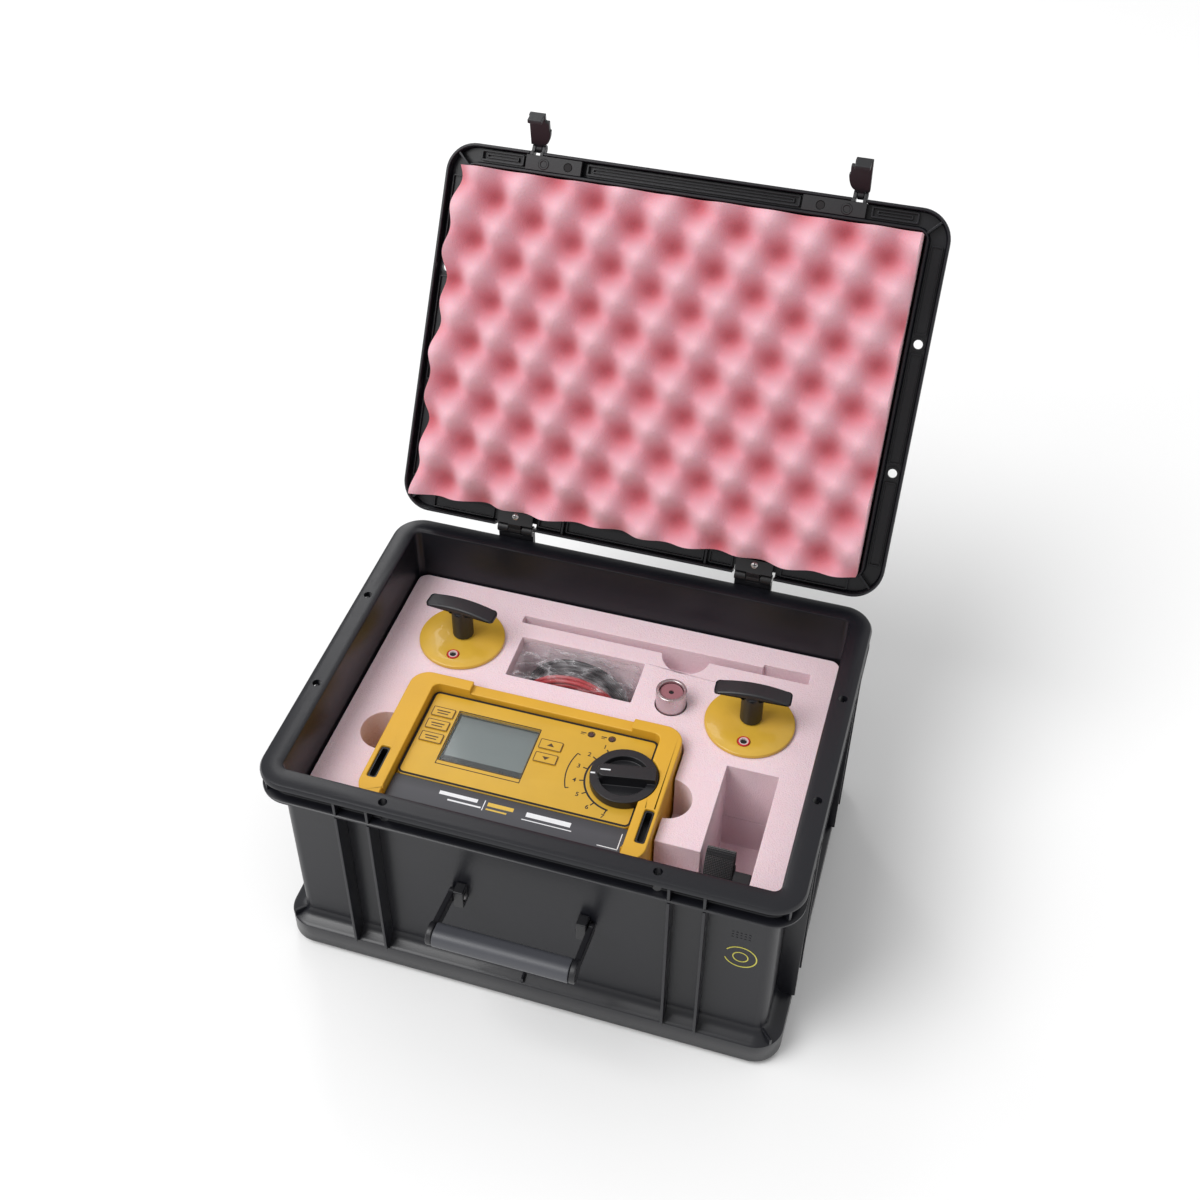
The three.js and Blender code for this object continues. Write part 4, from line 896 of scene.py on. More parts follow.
def make_fins():
    """The upright fins, the corner gussets and the stepped foot."""
    for name, high, low in (("wall_fin", TOP - 21, 25), ("rim_fin", TOP - 5, TOP - 17.5)):
        middle, tall = (high + low) / 2, high - low
        inner = WALL_Y if name == "wall_fin" else RIM_Y - 8
        deep = RIM_Y - inner - 0.2
        for tag, first in (("a", -135), ("b", 110)):
            for end, label_text in ((-1, "front"), (1, "rear")):
                if end > 0 and name == "rim_fin":
                    continue
                repeated(f"{name}_{label_text}_{tag}", cube_shape((2.2, deep, tall)), "case", "case", 2,
                         (first, end * (inner + deep / 2), middle), (25, 0, 0), roll=0.5,
                         slot="case_black")
        inner = WALL_X if name == "wall_fin" else RIM_X - 8
        wide = RIM_X - inner - 0.2
        for tag, first in (("a", -95), ("b", 70)):
            for end, label_text in ((-1, "left"), (1, "right")):
                repeated(f"{name}_{label_text}_{tag}", cube_shape((wide, 2.2, tall)), "case", "case", 2,
                         (end * (inner + wide / 2), first, middle), (0, 25, 0), roll=0.5,
                         slot="case_black")
    gussets = Form()
    for sx in (-1, 1):
        for sy in (-1, 1):
            turn = Matrix.Translation((sx * (RIM_X - 13), sy * (RIM_Y - 12.8), 0)) @ Matrix.Rotation(
                math.radians(45 * sx * sy), 4, "Z")
            gussets.block(-5.6, 5.6, -1.1, 1.1, 24.5, 31, turn)
            gussets.block(-6.6, 6.6, -1.1, 1.1, TOP - 17.6, TOP - 4.8, turn)
    gussets.block(-1, 1, -RIM_Y + 3.6, -WALL_Y + 1, 24, 30)
    gussets.block(-1, 1, WALL_Y - 1, RIM_Y - 3.6, 24, 30)
    piece("corner_gussets", gussets, "case", "case", roll=0.4, slot="case_black")
    foot = Form()
    w, d = RIM_X - 20.5, RIM_Y - 20.5
    outer, inner = corner_ring(-w, w, -d, d, 12, 0), corner_ring(-w + 12, w - 12, -d + 12, d - 12, 6, 0)
    foot.lofted([[(ox, oy, 4.2), (ox, oy, 0.8), (ox * 0.998, oy * 0.998, 0.0), (ix, iy, 0.0), (ix, iy, 4.2)]
                 for (ox, oy, _), (ix, iy, _) in zip(outer, inner)], closed=True)
    piece("foot_ring", foot, "case", "case", slot="case_black")
    repeated("foot_ribs_across", cube_shape((2 * w - 20, 2.4, 3.6)), "case", "case", 9,
             (0, -d + 25, 2.4), (0, (2 * d - 50) / 8, 0), slot="case_black", roll=0.3)
    repeated("foot_ribs_along", cube_shape((2.4, 2 * d - 20, 3.6)), "case", "case", 13,
             (-w + 25, 0, 2.4), ((2 * w - 50) / 12, 0, 0), slot="case_black", roll=0.3)


def make_case_marks():
    """Small moulded marks and a plain ring printed on the front wall."""
    y = -WALL_Y - 0.05
    upright = Matrix.Translation((0, y * MM, 0)) @ Matrix.Rotation(math.radians(90), 4, "X")
    ring = Form().arc_band(161, 118, 11.6, 0.9, -160, 150, -0.1, 0.12, 60)
    ring.arc_band(161, 118, 5.4, 0.8, 0, 360, -0.1, 0.12, 40)
    piece("front_ring_mark", ring, "ink_yellow", "case", turn=upright)
    for row in range(3):
        repeated(f"moulded_dots_{row}", stud_shape(0.8, 0.5, 10), "case", "case", 5,
                 (154, 140 + row * 3, 0), (3, 0, 0), place=upright, slot="case_black")


make_tub()
make_fins()
make_case_marks()


# ---------------------------------------------------------------- the lid

def make_lid():
    """The lid's ceiling, wall, channel and rim, drawn closed and turned open."""
    z, y = LID_Z, RIM_Y
    form = skirt([
        (MOUTH, -2, 4.5, z + 19.5), (MOUTH, 0, 6, z + 17.5), (MOUTH, 0, 6, z + 0.8), (MOUTH, 0.6, 6.5, z),
        (DOME, -0.5, 9.5, z), (DOME, 0, 10, z + 0.6), (DOME, 0, 10, z + 8.6), (DOME, 0.8, 10.6, z + 9.5),
        (RIM, -3.3, 20.7, z + 9.5), (RIM, -2.5, 21.5, z + 8.6), (RIM, -2.5, 21.5, z + 0.7),
        (RIM, -1.9, 22, z), (RIM, -0.7, 23.3, z), (RIM, 0, 24, z + 0.8), (RIM, 0, 24, z + 10),
        (RIM, -0.6, 23.4, z + 11.5), (RIM, -2, 22, z + 12), (DOME, 1, 11, z + 12), (DOME, 0, 10, z + 13),
        (DOME, 0, 10, z + 20), (DOME, -0.7, 9.3, z + 21.4), (DOME, -2.2, 8, z + 22)])
    shell = shown("lid_cover", form.mesh("lid_cover"))
    cuts = Form()
    for side in (-1, 1):
        for end in (-1, 1):
            cuts.rod("z", 3.5, z + 6, z + 15, side * (RIM_X - HOLE_IN), end * 50, 28)
        cuts.block(side * 100 - 16.5, side * 100 + 16.5, 145, 152, z - 1, z + 13)
    for latch in ("left", "right"):
        middle = JOINTS[f"latch_{latch}_turn"]["pos_m"][0] / MM
        cuts.block(middle - 6, middle + 6, -152, -147, z - 1, z + 13)
    carved(shell, cuts)
    shell.data.transform(LID_TURN)
    worn(smoothed(shell, 35), "case", "lid", "lid_shell", slot="case_black")
    ribs = Form()
    for rib_x in (-60, 60):
        ribs.block(rib_x - 0.9, rib_x + 0.9, DOME[1] - 0.3, y - 1, z + 3, z + 11)
    for sx in (-1, 1):
        for sy in (-1, 1):
            turn = Matrix.Translation((sx * (RIM_X - 13.3), sy * (y - 13.1), 0)) @ Matrix.Rotation(
                math.radians(45 * sx * sy), 4, "Z")
            ribs.block(-7.5, 7.5, -0.9, 0.9, z + 1.5, z + 11, turn)
    piece("lid_ribs", ribs, "case", "lid", turn=LID_TURN, roll=0.35, slot="case_black")
    rails = Form()
    for x0, x1 in ((-86, 84), (-174, -138), (138, 174)):
        rails.frame_band(x0, x1, -146.2, -137.4, 1.6, z + 5.6, z + 9.8, 1.2)
        rails.frame_band(x0 + 4.5, x1 - 4.5, -143.6, -140.0, 1.2, z + 6.6, z + 9.8, 0.8)
    for x0, x1 in ((-82, -62), (-58, 58), (62, 82), (-174, -120), (120, 174)):
        rails.frame_band(x0, x1, 136.4, 146.8, 1.4, z + 6.6, z + 9.8, 1.2)
    for side in (-1, 1):
        for y0, y1 in ((-43, 43), (-124, -57), (57, 124)):
            a, b = sorted((side * 186.4, side * 195.8))
            rails.frame_band(a, b, y0, y1, 1.3, z + 7.2, z + 9.8, 1.2)
    piece("lid_channel_rails", rails, "case", "lid", turn=LID_TURN, roll=0.3, slot="case_black")
    bosses = Form()
    for side in (-1, 1):
        for end in (-1, 1):
            bosses.hoop([(3.5, z + 9.6), (5.6, z + 9.6), (5.4, z + 8.2), (3.5, z + 8.2)], "z",
                        side * (RIM_X - HOLE_IN), end * 50, 32)
    piece("lid_hole_bosses", bosses, "case", "lid", turn=LID_TURN, slot="case_black")


EGG = {"pitch": 36.0, "turn": 20.5, "valley": 14.0, "peak": 42.0, "cut": 2.0, "back": 19.2,
       "across": 176, "along": 130, "first_valley": (3.0, -13.9)}


def make_egg_foam():
    """Convoluted foam: smooth peaks on a flat back, with sawn sides."""
    half_w, half_d = MOUTH_X - EGG["cut"], MOUTH_Y - EGG["cut"]
    nx, ny = EGG["across"], EGG["along"]
    turn, wave = math.radians(EGG["turn"]), 2 * math.pi / EGG["pitch"]
    x, y = np.meshgrid(np.linspace(-half_w, half_w, nx + 1), np.linspace(-half_d, half_d, ny + 1))
    u = math.cos(turn) * x + math.sin(turn) * y - EGG["first_valley"][0]
    v = math.cos(turn) * y - math.sin(turn) * x - EGG["first_valley"][1]
    pattern = (2 - np.cos(wave * u) - np.cos(wave * v)) / 4
    wander = 0.5 * np.sin(x / 23 + 1) * np.sin(y / 31) + 0.4 * np.sin(x / 11 + y / 17)
    drop = EGG["valley"] + (EGG["peak"] - EGG["valley"]) * pattern ** 0.92 + wander
    under = np.stack([x, y, LID_Z - drop], -1).reshape(-1, 3)
    at = lambda i, j: j * (nx + 1) + i
    edge = grid_edge(nx, ny)
    back_z = LID_Z + EGG["back"]
    middle = [(*under[at(i, j)][:2], LID_Z + 2.0) for i, j in edge]
    back = [(*under[at(i, j)][:2], back_z) for i, j in edge]
    points = [tuple(p) for p in under] + middle + back
    faces = [(at(i, j), at(i, j + 1), at(i + 1, j + 1), at(i + 1, j)) for j in range(ny) for i in range(nx)]
    first, count = len(under), len(edge)
    for n, (i, j) in enumerate(edge):
        m = (n + 1) % count
        faces.append((at(i, j), at(*edge[m]), first + m, first + n))
        faces.append((first + n, first + m, first + count + m, first + count + n))
    faces.append(tuple(first + count + n for n in range(count)))
    data = bpy.data.meshes.new("lid_egg_foam")
    data.from_pydata([tuple(c * MM for c in p) for p in points], [], faces)
    rise = data.attributes.new("rise", "FLOAT", "POINT")
    level = np.concatenate([pattern.reshape(-1), np.full(2 * count, 0.45)])
    rise.data.foreach_set("value", level.astype(np.float32))
    data.transform(LID_TURN)
    pad = shown("lid_egg_foam", normals_out(data))
    worn(smoothed(pad, 50), "egg_foam", "lid", "lid_foam", slot="egg_foam")
    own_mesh(pad)


make_lid()
make_egg_foam()


# ---------------------------------------------------------------- hinges, latches and handle

def cross_screw(form, marks, x, y, z, r):
    """A domed screw head, and dark blocks through its top for the cross: painted shade in the cross recess.
    """
    profile = [(0, -1), (r, -1), (r, 0.5), (r * 0.8, 1.1), (r * 0.4, 1.4), (0.2, 1.45), (0, 1.45)]
    form.turned([(width, z + up) for width, up in profile], "z", x, y, 28)
    marks.block(x - r * 0.6, x + r * 0.6, y - 0.3, y + 0.3, z + 0.8, z + 1.5)
    marks.block(x - 0.3, x + 0.3, y - r * 0.6, y + r * 0.6, z + 0.8, z + 1.5)


def make_hinges():
    flip = LID_TURN @ Matrix.Rotation(math.pi, 4, "X")
    screws, cross_shade = Form(), Form()
    for side, x in (("left", -100), ("right", 100)):
        refined(f"hinge_base_{side}", "fitting", 0.5)
        refined(f"hinge_leaf_{side}", "fitting", 0.4)
        refined(f"hinge_pin_{side}", "bright_steel", 0.2, 2)
        cross_screw(screws, cross_shade, x, -140.5, -LID_Z - 1.2, 3.1)
    piece("hinge_screws", screws, "bright_steel", "lid", turn=flip, slot="steel")
    # painted shade in the screws' cross recesses
    piece("hinge_screw_slot_shade", cross_shade, "hole", "lid", turn=flip)


def make_latches():
    rivets, pit_shade = Form(), Form()
    flip = LID_TURN @ Matrix.Rotation(math.pi, 4, "X")
    for side, sign in (("left", -1), ("right", 1)):
        refined(f"latch_base_{side}", "fitting", 0.35)
        refined(f"latch_lever_{side}", "fitting", 0.6)
        rivets.hoop([(2.4, -LID_Z - 0.4), (4.4, -LID_Z - 0.4), (4.4, -LID_Z - 0.1), (3.9, -LID_Z + 0.4),
                     (2.9, -LID_Z + 0.4), (2.4, -LID_Z - 0.1)], "z", sign * 120, 141, 36)
        # dark discs: painted shade standing in for two small hollows by the latches
        pit_shade.turned([(0, -LID_Z - 0.6), (3.0, -LID_Z - 0.6), (3.0, -LID_Z - 0.15), (0, -LID_Z - 0.15)],
                    "z", sign * 100, 141, 28)
    piece("latch_rivets", rivets, "fitting", "lid", turn=flip, slot="fitting_black")
    piece("latch_pit_shade", pit_shade, "hole", "lid", turn=flip)


def make_handle():
    refined("handle_bail", "handle", 1.0)
    refined("handle_grip", "grip", 0.8)
    pins = Form()
    for side in ("left", "right"):
        refined(f"handle_bracket_{side}", "fitting", 0.8)
        bracket = Box(f"handle_bracket_{side}")
        inner = bracket.x1 if side == "left" else bracket.x0
        sign = 1 if side == "left" else -1
        a = inner - sign * 0.6
        profile = [(0, a), (2.6, a), (2.6, inner + sign * 0.4), (1.8, inner + sign * 0.9),
                   (0.2, inner + sign * 1.1), (0, inner + sign * 1.1)]
        pins.turned(profile, "x", -141.5, 111.5, 24)
    piece("handle_pin_heads", pins, "bright_steel", "handle", slot="steel")


make_hinges()
make_latches()
make_handle()


# ---------------------------------------------------------------- foam in the case

def make_foam_blocks():
    for node in ("foam_top", "foam_bottom"):
        block = refined(node, "pad_foam", 0.7, 2, 40)


make_foam_blocks()


# ---------------------------------------------------------------- tester

KEYS = ("mode", "range", "store", "up", "down")
LAMPS_X, LAMPS_Y = (11.7, 28.1), -2.6
LUGS_X = {"left": -131.0, "right": 75.1}
PRINT = 0.06


def printed(name, form, finish, body="tester"):
    return piece(name, form, finish, body)


def make_panel():
    """The face panel: a plate with its rim rolled over, cut for window, keys, lamps and knob."""
    plate = Form().rounded(panel.x0, panel.x1, panel.y0, panel.y1, 5.2, panel.z0, panel.z1, 0.5)
    plate = shown("panel_plate", plate.mesh("panel_plate"))
    low, high = panel.z0 - 1, panel.z1 + 1
    holes = Form().block(window.x0 - 0.2, window.x1 + 0.2, window.y0 - 0.2, window.y1 + 0.2, low, high)
    for name in KEYS:
        key = Box(f"key_{name}")
        holes.rounded(key.x - 9.15, key.x + 9.15, key.y - 4.9, key.y + 4.9, 1.2, low, high, arc=4)
    for lamp_x in LAMPS_X:
        holes.rod("z", 2.3, low, high, lamp_x, LAMPS_Y, 24)
    holes.rod("z", 4, low, high, knob.x, knob.y, 32)
    carved(plate, holes)
    worn(smoothed(plate, 30), "panel", "tester", "face_panel", slot="panel_yellow")


def make_lug_slot_shades():
    """Dark rings down in the two slots that the neck strap hooks into: painted shade for the slots' deep
    insides.
    """
    for name, x in LUGS_X.items():
        slot_shade_ring = Form().rounded(x - 3.6, x + 3.6, -96.3, -65.7, 2.6, bumper.z1 - 13.8, bumper.z1 - 1.6)
        ring = shown(f"lug_slot_shade_{name}", slot_shade_ring.mesh(f"lug_slot_shade_{name}"))
        gap = Form().rounded(x - 2.4, x + 2.4, -94.8, -67.2, 1.8, bumper.z1 - 11, bumper.z1 + 1)
        carved(ring, gap)
        worn(smoothed(ring), "knob", "tester")


def make_tester_shell():
    refined("tester_bumper", "holster", 0.9, 3, 38, joined=False)
    refined("tester_housing", "panel", 0.4, 2)
    make_panel()
    refined("label_strip", "label", 0.3, 2, 40)
    make_lug_slot_shades()
    refined("knob_dial", "knob", 0.6, 3, 30)
    for key in KEYS:
        refined(f"key_{key}", "panel", 0.5, 3)
    refined("led_pair", "lens", 0.3, 2, 40)


def make_panel_print():
    """Plain printed marks: outlines, a dial scale and short bars; no words. Also a dark band of painted shade
    round the panel's edge, for the gap to the bumper.
    """
    low, high = panel.z1 - 0.05, panel.z1 + PRINT
    lines = Form()
    lines.frame_band(window.x0 - 1.1, window.x1 + 1.1, window.y0 - 1.1, window.y1 + 1.1, 0.8, low, high, 0.8)
    lines.bar((window.x0 - 1, window.y0 - 4.4), (window.x1 + 1, window.y0 - 4.4), 0.7, low, high)
    for x in (window.x0 - 0.7, window.x1 + 0.7):
        lines.bar((x, window.y0 - 4.7), (x, window.y0 - 1.1), 0.7, low, high)
    printed("window_outline", lines, "ink_dark")
    # painted shade: a dark band along the panel's edge for the gap between panel and bumper
    border = Form().frame_band(panel.x0 + 0.1, panel.x1 - 0.1, panel.y0 + 0.4, panel.y1 - 0.1, 1.9,
                               low, high, 5)
    printed("panel_gap_shade", border, "hole")
    scale = Form()
    scale.arc_band(knob.x, knob.y, 29.4, 1.5, 112, 262, low, high, 60)
    scale.arc_band(knob.x, knob.y, 44.0, 0.9, 158, 204, low, high, 30)
    for angle in (158, 204):
        a = math.radians(angle)
        near, far = Vector((math.cos(a), math.sin(a))) * 41.5, Vector((math.cos(a), math.sin(a))) * 44
        middle = Vector((knob.x, knob.y))
        scale.bar(middle + near, middle + far, 0.9, low, high)
    printed("dial_scale", scale, "ink_dark")
    repeated("dial_ticks", cube_shape((3.4, 1.0, 0.12)), "ink_dark", "tester", 7,
             (knob.x - 31.6, knob.y, panel.z1), turn=22, centre=(knob.x, knob.y, 0),
             place=turned_round(knob, -52))
    marks = Form()
    for lamp_x in LAMPS_X:
        marks.bar((lamp_x - 8.4, LAMPS_Y + 0.3), (lamp_x - 4.2, LAMPS_Y + 0.3), 0.9, low, high)
        marks.bar((lamp_x - 8.4, LAMPS_Y - 1.2), (lamp_x - 5.4, LAMPS_Y - 1.2), 0.5, low, high)
        marks.arc_band(lamp_x, LAMPS_Y, 2.7, 0.6, 0, 360, low, high, 24)
    printed("lamp_marks", marks, "ink_dark")


def turned_round(box, degrees):
    """A turn about the upright line through a box's middle."""
    middle = Matrix.Translation((box.x * MM, box.y * MM, 0))
    return middle @ Matrix.Rotation(math.radians(degrees), 4, "Z") @ middle.inverted()


def make_dial_numbers():
    """Single digits round the dial."""
    flat = []
    for number in range(7):
        angle = math.radians(128 + number * 22)
        text = bpy.data.curves.new(f"digit_{number}", "FONT")
        text.body = str(number + 1)
        text.size = 5.4 * MM
        text.offset = 0.1 * MM
        text.extrude = 0.05 * MM
        text.align_x = "CENTER"
        text.align_y = "CENTER"
        digit = applied_text(text)
        digit.transform(Matrix.Translation((
            (knob.x + 37.0 * math.cos(angle)) * MM, (knob.y + 36.0 * math.sin(angle)) * MM,
            panel.z1 * MM)))
        flat.append(digit)
    bm = bmesh.new()
    for digit in flat:
        bm.from_mesh(digit)
    bmesh.ops.remove_doubles(bm, verts=bm.verts, dist=1e-6)
    bmesh.ops.recalc_face_normals(bm, faces=bm.faces)
    data = bpy.data.meshes.new("dial_numbers")
    bm.to_mesh(data)
    bm.free()
    worn(shown("dial_numbers", data), "ink_dark", "tester")


def applied_text(text):
    item = bpy.data.objects.new("text", text)
    bpy.context.scene.collection.objects.link(item)
    bpy.context.view_layer.update()
    data = bpy.data.meshes.new_from_object(item.evaluated_get(bpy.context.evaluated_depsgraph_get()))
    bpy.data.objects.remove(item)
    return data


def make_key_print():
    """Each key's outline, with two short bars or an arrow on it."""
    for name in KEYS:
        key = Box(f"key_{name}")
        low, high = key.z1 - 0.05, key.z1 + PRINT
        outline = Form().frame_band(key.x0 + 1.0, key.x1 - 1.0, key.y0 + 1.0, key.y1 - 1.0, 0.6, low, high, 1)
        if name in ("up", "down"):
            tip = 1.9 if name == "up" else -1.9
            arrow = [(key.x - 2.9, key.y - tip * 0.7), (key.x + 2.9, key.y - tip * 0.7), (key.x, key.y + tip)]
            outline.prism(arrow if name == "up" else arrow[::-1], low, high)
        else:
            outline.bar((key.x - 5.4, key.y + 1.1), (key.x + 5.4, key.y + 1.1), 1.1, low, high)
            outline.bar((key.x - 4.4, key.y - 1.4), (key.x + 4.4, key.y - 1.4), 1.0, low, high)
        printed(f"key_print_{name}", outline, "ink_brown", f"key_{name}")


def make_label_print():
    """Plain bars and a corner mark on the foil label."""
    low, high = label.z1 - 0.05, label.z1 + PRINT
    pale = Form()
    pale.bar((-80, -88.6), (-50, -88.6), 3.2, low, high)
    pale.bar((-72, -93.6), (-46, -93.6), 1.4, low, high)
    pale.bar((-44.6, -86.2), (-44.6, -95.6), 0.7, low, high)
    pale.bar((-12, -89.6), (22, -89.6), 4.2, low, high)
    pale.bar((-14, -94.6), (24, -94.6), 0.8, low, high)
    pale.bar((45, -100.6), (60.4, -100.6), 0.7, low, high)
    pale.bar((60.1, -100.6), (60.1, -86), 0.7, low, high)
    printed("label_print_pale", pale, "ink_white")
    warm = Form().bar((-42, -89.0), (-22, -89.0), 3.4, low, high)
    warm.bar((-42, -93.6), (-26, -93.6), 1.4, low, high)
    printed("label_print_warm", warm, "ink_amber")


def make_display():
    """The pane, the cell behind it, the dark bar along its lower edge, and painted shadow along its left and
    upper edges.
    """
    refined("display_window", "pane", 0.25, 2)
    refined("display_module", "cell", 0.3, 2)
    module = Box("display_module")
    left, right = module.x0 + 0.1, module.x1 - 0.1
    near, far = module.y0 + 0.1, module.y1 - 0.1
    low, high = module.z1 - 0.1, module.z1 + 0.2
    # the lower bar is the cell's own dark band; the thin strips along the left and upper edges are painted
    # shadow
    bar = Form().block(left, right, near, module.y0 + 6.2, low, high)
    bar.block(left, module.x0 + 0.9, module.y0 + 6, far, low, high)
    bar.block(left, right, module.y1 - 1.0, far, low, high)
    printed("cell_bar_and_edge_shade", bar, "hole")


def make_knob_marks():
    top = knob.z1
    mark = Form().bar((-17.5, 0), (-10, 0), 1.2, top - 0.2, top + 0.05)
    turn = Matrix.Translation((knob.x * MM, knob.y * MM, 0)) @ Matrix.Rotation(math.radians(10), 4, "Z")
    piece("knob_pointer", mark, "ink_white", "knob", turn=turn)
    rim = Form().bar((-25, 0), (-21.5, 0), 1.4, top - 5.2, top - 4.95)
    piece("knob_rim_mark", rim, "ink_white", "knob", turn=turn)


make_tester_shell()
make_panel_print()
make_dial_numbers()
make_key_print()
make_label_print()
make_display()
make_knob_marks()


# ---------------------------------------------------------------- electrodes, probe, bag and strap

def make_electrode(side):
    disc, jack = Box(f"electrode_cap_{side}"), Box(f"electrode_jack_{side}")
    r, low, high = disc.w / 2, disc.z0, disc.z1
    profile = [(0, low), (r - 0.4, low), (r, low + 0.4), (r, high - 1.3), (r - 0.4, high - 0.5),
               (r - 1.3, high), (0, high)]
    cap = shown(f"electrode_cap_{side}_finish", Form().turned(profile, "z", disc.x, disc.y, 96).mesh("cap"))
    carved(cap, Form().rod("z", jack.w / 2 + 0.3, low - 1, high + 1, jack.x, jack.y, 40))
    worn(smoothed(cap), "cap", f"electrode_{side}", f"electrode_cap_{side}", slot="cap_yellow")
    refined(f"electrode_handle_{side}", "handle", 1.8, 4, 35)
    refined(f"electrode_weight_{side}", "bright_steel", 0.8, 2)
    refined(f"electrode_pad_{side}", "pad_rubber", 0.5, 2)
    bottom, top = jack.z0, jack.z1
    ring = Form().hoop([(3.7, bottom), (4.9, bottom), (4.9, top - 0.5), (4.5, top), (4.0, top),
                        (3.7, top - 0.3)], "z", jack.x, jack.y, 48)
    piece(f"jack_ring_{side}", ring, "jack_red", f"electrode_{side}", f"electrode_jack_{side}", slot="jack")
    liner = Form().hoop([(2.6, bottom), (3.7, bottom), (3.7, top - 0.3), (2.8, top - 0.3), (2.6, top - 0.6)],
                        "z", jack.x, jack.y, 40)
    piece(f"jack_liner_{side}", liner, "jack_pale", f"electrode_{side}")
    # a dark rod down the jack: painted shade in its bore
    well = Form().rod("z", 2.6, bottom, top - 2.0, jack.x, jack.y, 24)
    piece(f"jack_bore_shade_{side}", well, "hole", f"electrode_{side}")


def make_probe():
    sleeve, core = Box("probe_sleeve"), Box("probe_core")
    steel = metal("turned_steel", (0.6, 0.53, 0.54), 0.22, (sleeve.x * MM, sleeve.y * MM, 0))
    FINISHES["turned_steel"] = steel
    refined("probe_sleeve", "turned_steel", 0.6, 3, 35)
    refined("probe_core", "probe_core", 0.3, 2, 35)
    # a dark plug down in the core: painted shade in its bore
    bore = Form().turned([(0, core.z1 - 8), (1.9, core.z1 - 8), (1.9, core.z1 - 1), (0, core.z1 - 1)],
                         "z", core.x, core.y, 24)
    piece("probe_bore_shade", bore, "hole", "probe")


def crumple(x, y):
    """The height of the bag's crumpled top, from folds in several directions."""
    total = 0.0
    for angle, pitch, share in ((25, 17, 1.0), (110, 13, 0.8), (68, 7.5, 0.45), (150, 23, 0.9)):
        a = math.radians(angle)
        phase = (x * math.cos(a) + y * math.sin(a)) / pitch + 0.6 * math.sin(y / 9 + angle)
        total += share * (1 - abs(2 * (phase % 1) - 1))
    return total / 3.15


def make_bag():
    """A clear film bag round the coils, closed over the top in crumples."""
    nx, ny = 64, 30
    w, d = bag.w / 2 - 0.4, bag.d / 2 - 0.4
    points, faces = [], []
    levels = 10
    top = bag.z1 - 0.3
    for j in range(ny + 1):
        for i in range(nx + 1):
            x, y = -w + 2 * w * i / nx, -d + 2 * d * j / ny
            side = min(1 - abs(x) / w, 1 - abs(y) / d)
            dome = min(side * 6, 1) ** 0.5
            z = top - 9 + 4.6 * dome + 4.2 * crumple(x, y) * min(side * 8, 1)
            points.append((bag.x + x, bag.y + y, z))
    at = lambda i, j: j * (nx + 1) + i
    faces += [(at(i, j), at(i + 1, j), at(i + 1, j + 1), at(i, j + 1)) for j in range(ny) for i in range(nx)]
    edge = grid_edge(nx, ny)
    rows = [[at(i, j) for i, j in edge]]
    for level in range(1, levels + 1):
        share = level / levels
        row = []
        for n, (i, j) in enumerate(edge):
            x, y, _ = points[at(i, j)]
            inward = 1 - 0.012 * (1 + math.sin(n * 0.55 + level * 1.3)) * math.sin(math.pi * share)
            row.append(len(points))
            points.append((bag.x + (x - bag.x) * inward, bag.y + (y - bag.y) * inward,
                           (top - 9) * (1 - share) + (bag.z0 + 0.3) * share))
        rows.append(row)
    for high, low in zip(rows, rows[1:]):
        for n in range(len(edge)):
            m = (n + 1) % len(edge)
            faces.append((high[n], low[n], low[m], high[m]))
    faces.append(tuple(rows[-1][::-1]))
    data = bpy.data.meshes.new("bag_film")
    data.from_pydata([tuple(c * MM for c in p) for p in points], [], faces)
    worn(smoothed(shown("bag_film", normals_out(data)), 60), "film", "lead_bag", "lead_bag", slot="bag_film")


def ribbon(name, route, x0, x1, thick):
    """Webbing that follows a route of (y, z) points, mapped along its length."""
    path = [Vector((0, y, z)) for y, z in route]
    rows, lengths, run = [], [], 0.0
    for n, point in enumerate(path):
        before, after = path[max(n - 1, 0)], path[min(n + 1, len(path) - 1)]
        along = (after - before).normalized()
        side = Vector((0, -along.z, along.y)) * thick / 2
        run += (point - before).length if n else 0
        lengths.append(run)
        wave = 0.25 * math.sin(run / 7)
        rows.append([point + side + Vector((x0 + wave, 0, 0)), point + side + Vector((x1 + wave, 0, 0)),
                     point - side + Vector((x1 + wave, 0, 0)), point - side + Vector((x0 + wave, 0, 0))])
    bm = bmesh.new()
    loops = [[bm.verts.new(corner) for corner in row] for row in rows]
    uv = bm.loops.layers.uv.new("UVMap")
    across = (0.0, (x1 - x0) * MM, (x1 - x0) * MM, 0.0)
    for n, (low, high) in enumerate(zip(loops, loops[1:])):
        for i in range(4):
            after = (i + 1) % 4
            face = bm.faces.new((low[i], low[after], high[after], high[i]))
            spots = ((i, n), (after, n), (after, n + 1), (i, n + 1))
            for loop, (corner, row) in zip(face.loops, spots):
                loop[uv].uv = (across[corner], lengths[row] * MM)
    bm.faces.new(loops[0][::-1])
    bm.faces.new(loops[-1])
    bmesh.ops.scale(bm, vec=(MM, MM, MM), verts=bm.verts)
    bmesh.ops.recalc_face_normals(bm, faces=bm.faces)
    data = bpy.data.meshes.new(name)
    bm.to_mesh(data)
    bm.free()
    return shown(name, data)


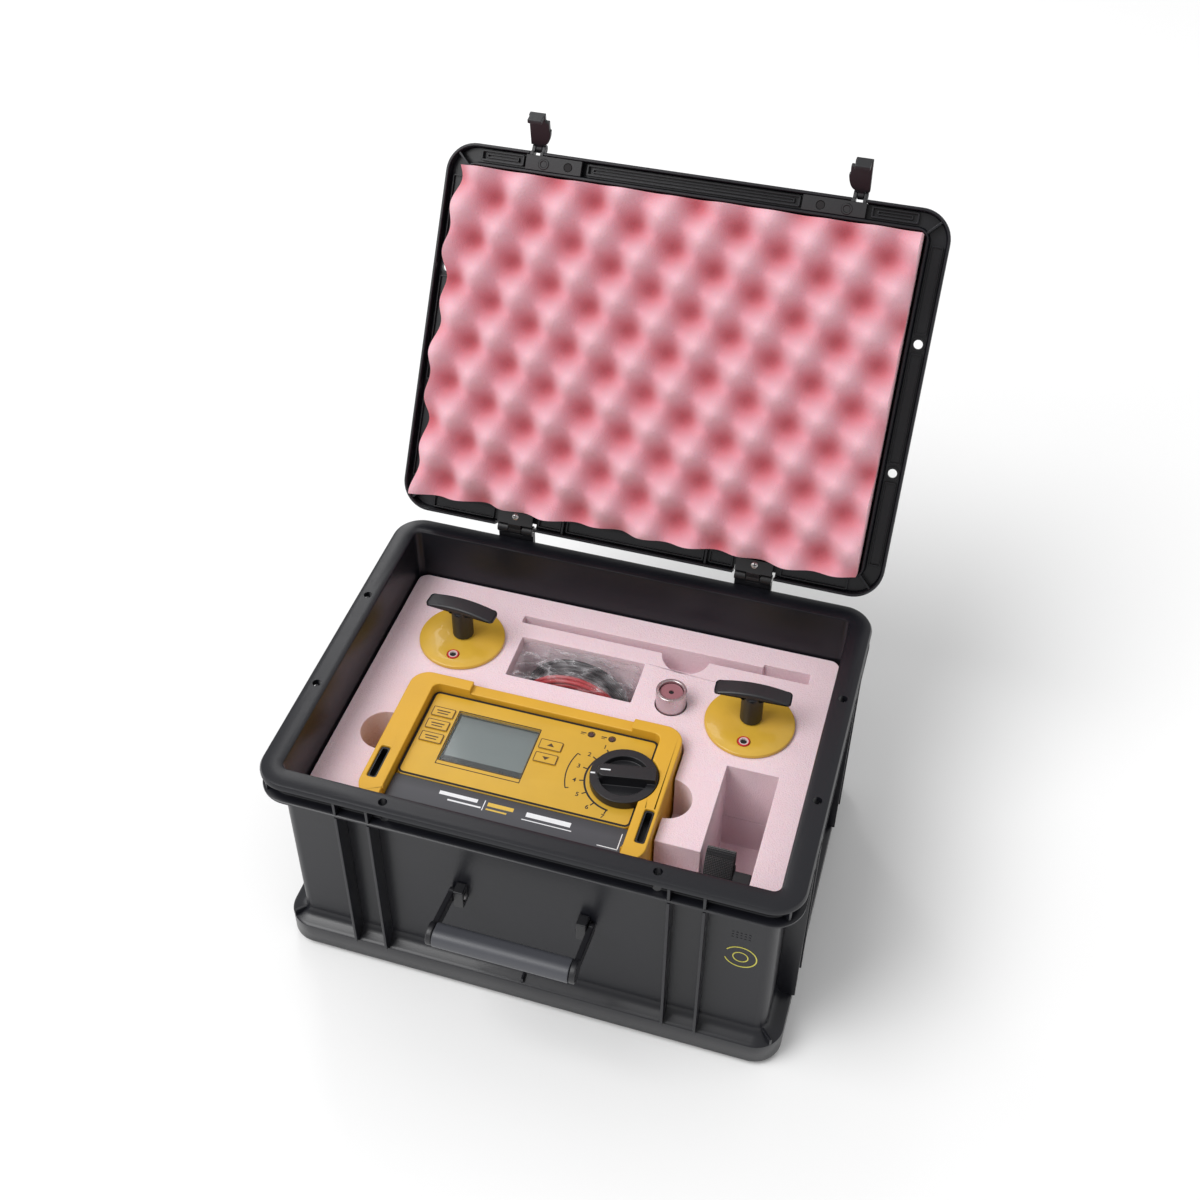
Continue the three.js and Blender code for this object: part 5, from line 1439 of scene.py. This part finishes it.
def make_strap():
    """The neck strap folded over on itself in its pocket, and its buckle."""
    thick = 1.7
    top, low = webbing.z1 - 0.3, webbing.z0 + 1.2
    front, back = webbing.y0 + 1.2, webbing.y1 - 1.2
    half, route = 3.4, []

    def run(y0, z0, y1, z1, steps):
        for step in range(steps + 1):
            share = step / steps
            sag = 0.7 * math.sin(math.pi * share) * math.sin(5 * share + z1)
            route.append((y0 + (y1 - y0) * share + sag, z0 + (z1 - z0) * share))

    def bend(y, z, r, start, end, steps=10):
        for step in range(1, steps):
            angle = math.radians(start + (end - start) * step / steps)
            route.append((y + r * math.cos(angle), z + r * math.sin(angle)))

    run(front, low + 6, back - 4 * half, top - half, 14)
    bend(back - 3 * half, top - half, half, 180, 0)
    run(back - 2 * half, top - half, back - 2 * half - 2, low + half, 12)
    bend(back - half - 2, low + half, half, 180, 360)
    run(back - 2, low + half, back - 0.5, top - 26, 12)
    strap = ribbon("strap_folds", route, webbing.x0 + 0.3, webbing.x1 - 0.3, thick)
    soften = strap.modifiers.new("soften", "BEVEL")
    soften.width = 0.4 * MM
    soften.segments = 2
    soften.limit_method = "ANGLE"
    soften.angle_limit = math.radians(50)
    applied(strap)
    worn(smoothed(strap, 50), "webbing", "strap", "strap_webbing", slot="webbing")
    refined("strap_buckle", "knob", 1.0)


for electrode_side in ("left", "right"):
    make_electrode(electrode_side)
make_probe()
make_bag()
make_strap()


# ---------------------------------------------------------------- works inside the tester

def make_works():
    refined("circuit_board", "board", 0.2, 1)
    refined("battery_pack", "battery", 1.0)
    refined("battery_cover", "fitting", 0.5)
    refined("rotary_switch", "white", 0.5)
    refined("socket_block", "knob", 0.4)
    pack = Box("battery_pack")
    repeated("battery_cells", stud_shape(6.6, 50, 28), "battery", "tester", 5,
             (pack.x - 32, pack.y, pack.z1 - 6.9), (16, 0, 0), slot="battery")


make_works()


# ---------------------------------------------------------------- floor

def make_floor():
    data = bpy.data.meshes.new("floor")
    half, under = 6.0, -0.0005
    corners = ((-half, -half), (half, -half), (half, half), (-half, half))
    data.from_pydata([(x, y, under) for x, y in corners], [], [(0, 1, 2, 3)])
    floor = shown("floor", data)
    finish = Finish("studio_floor", Roughness=0.9)
    finish.set(Base_Color=finish.mix((0.86, 0.86, 0.86), (0.9, 0.9, 0.9), finish.noise(0.5)))
    data.materials.append(finish.material)


make_floor()
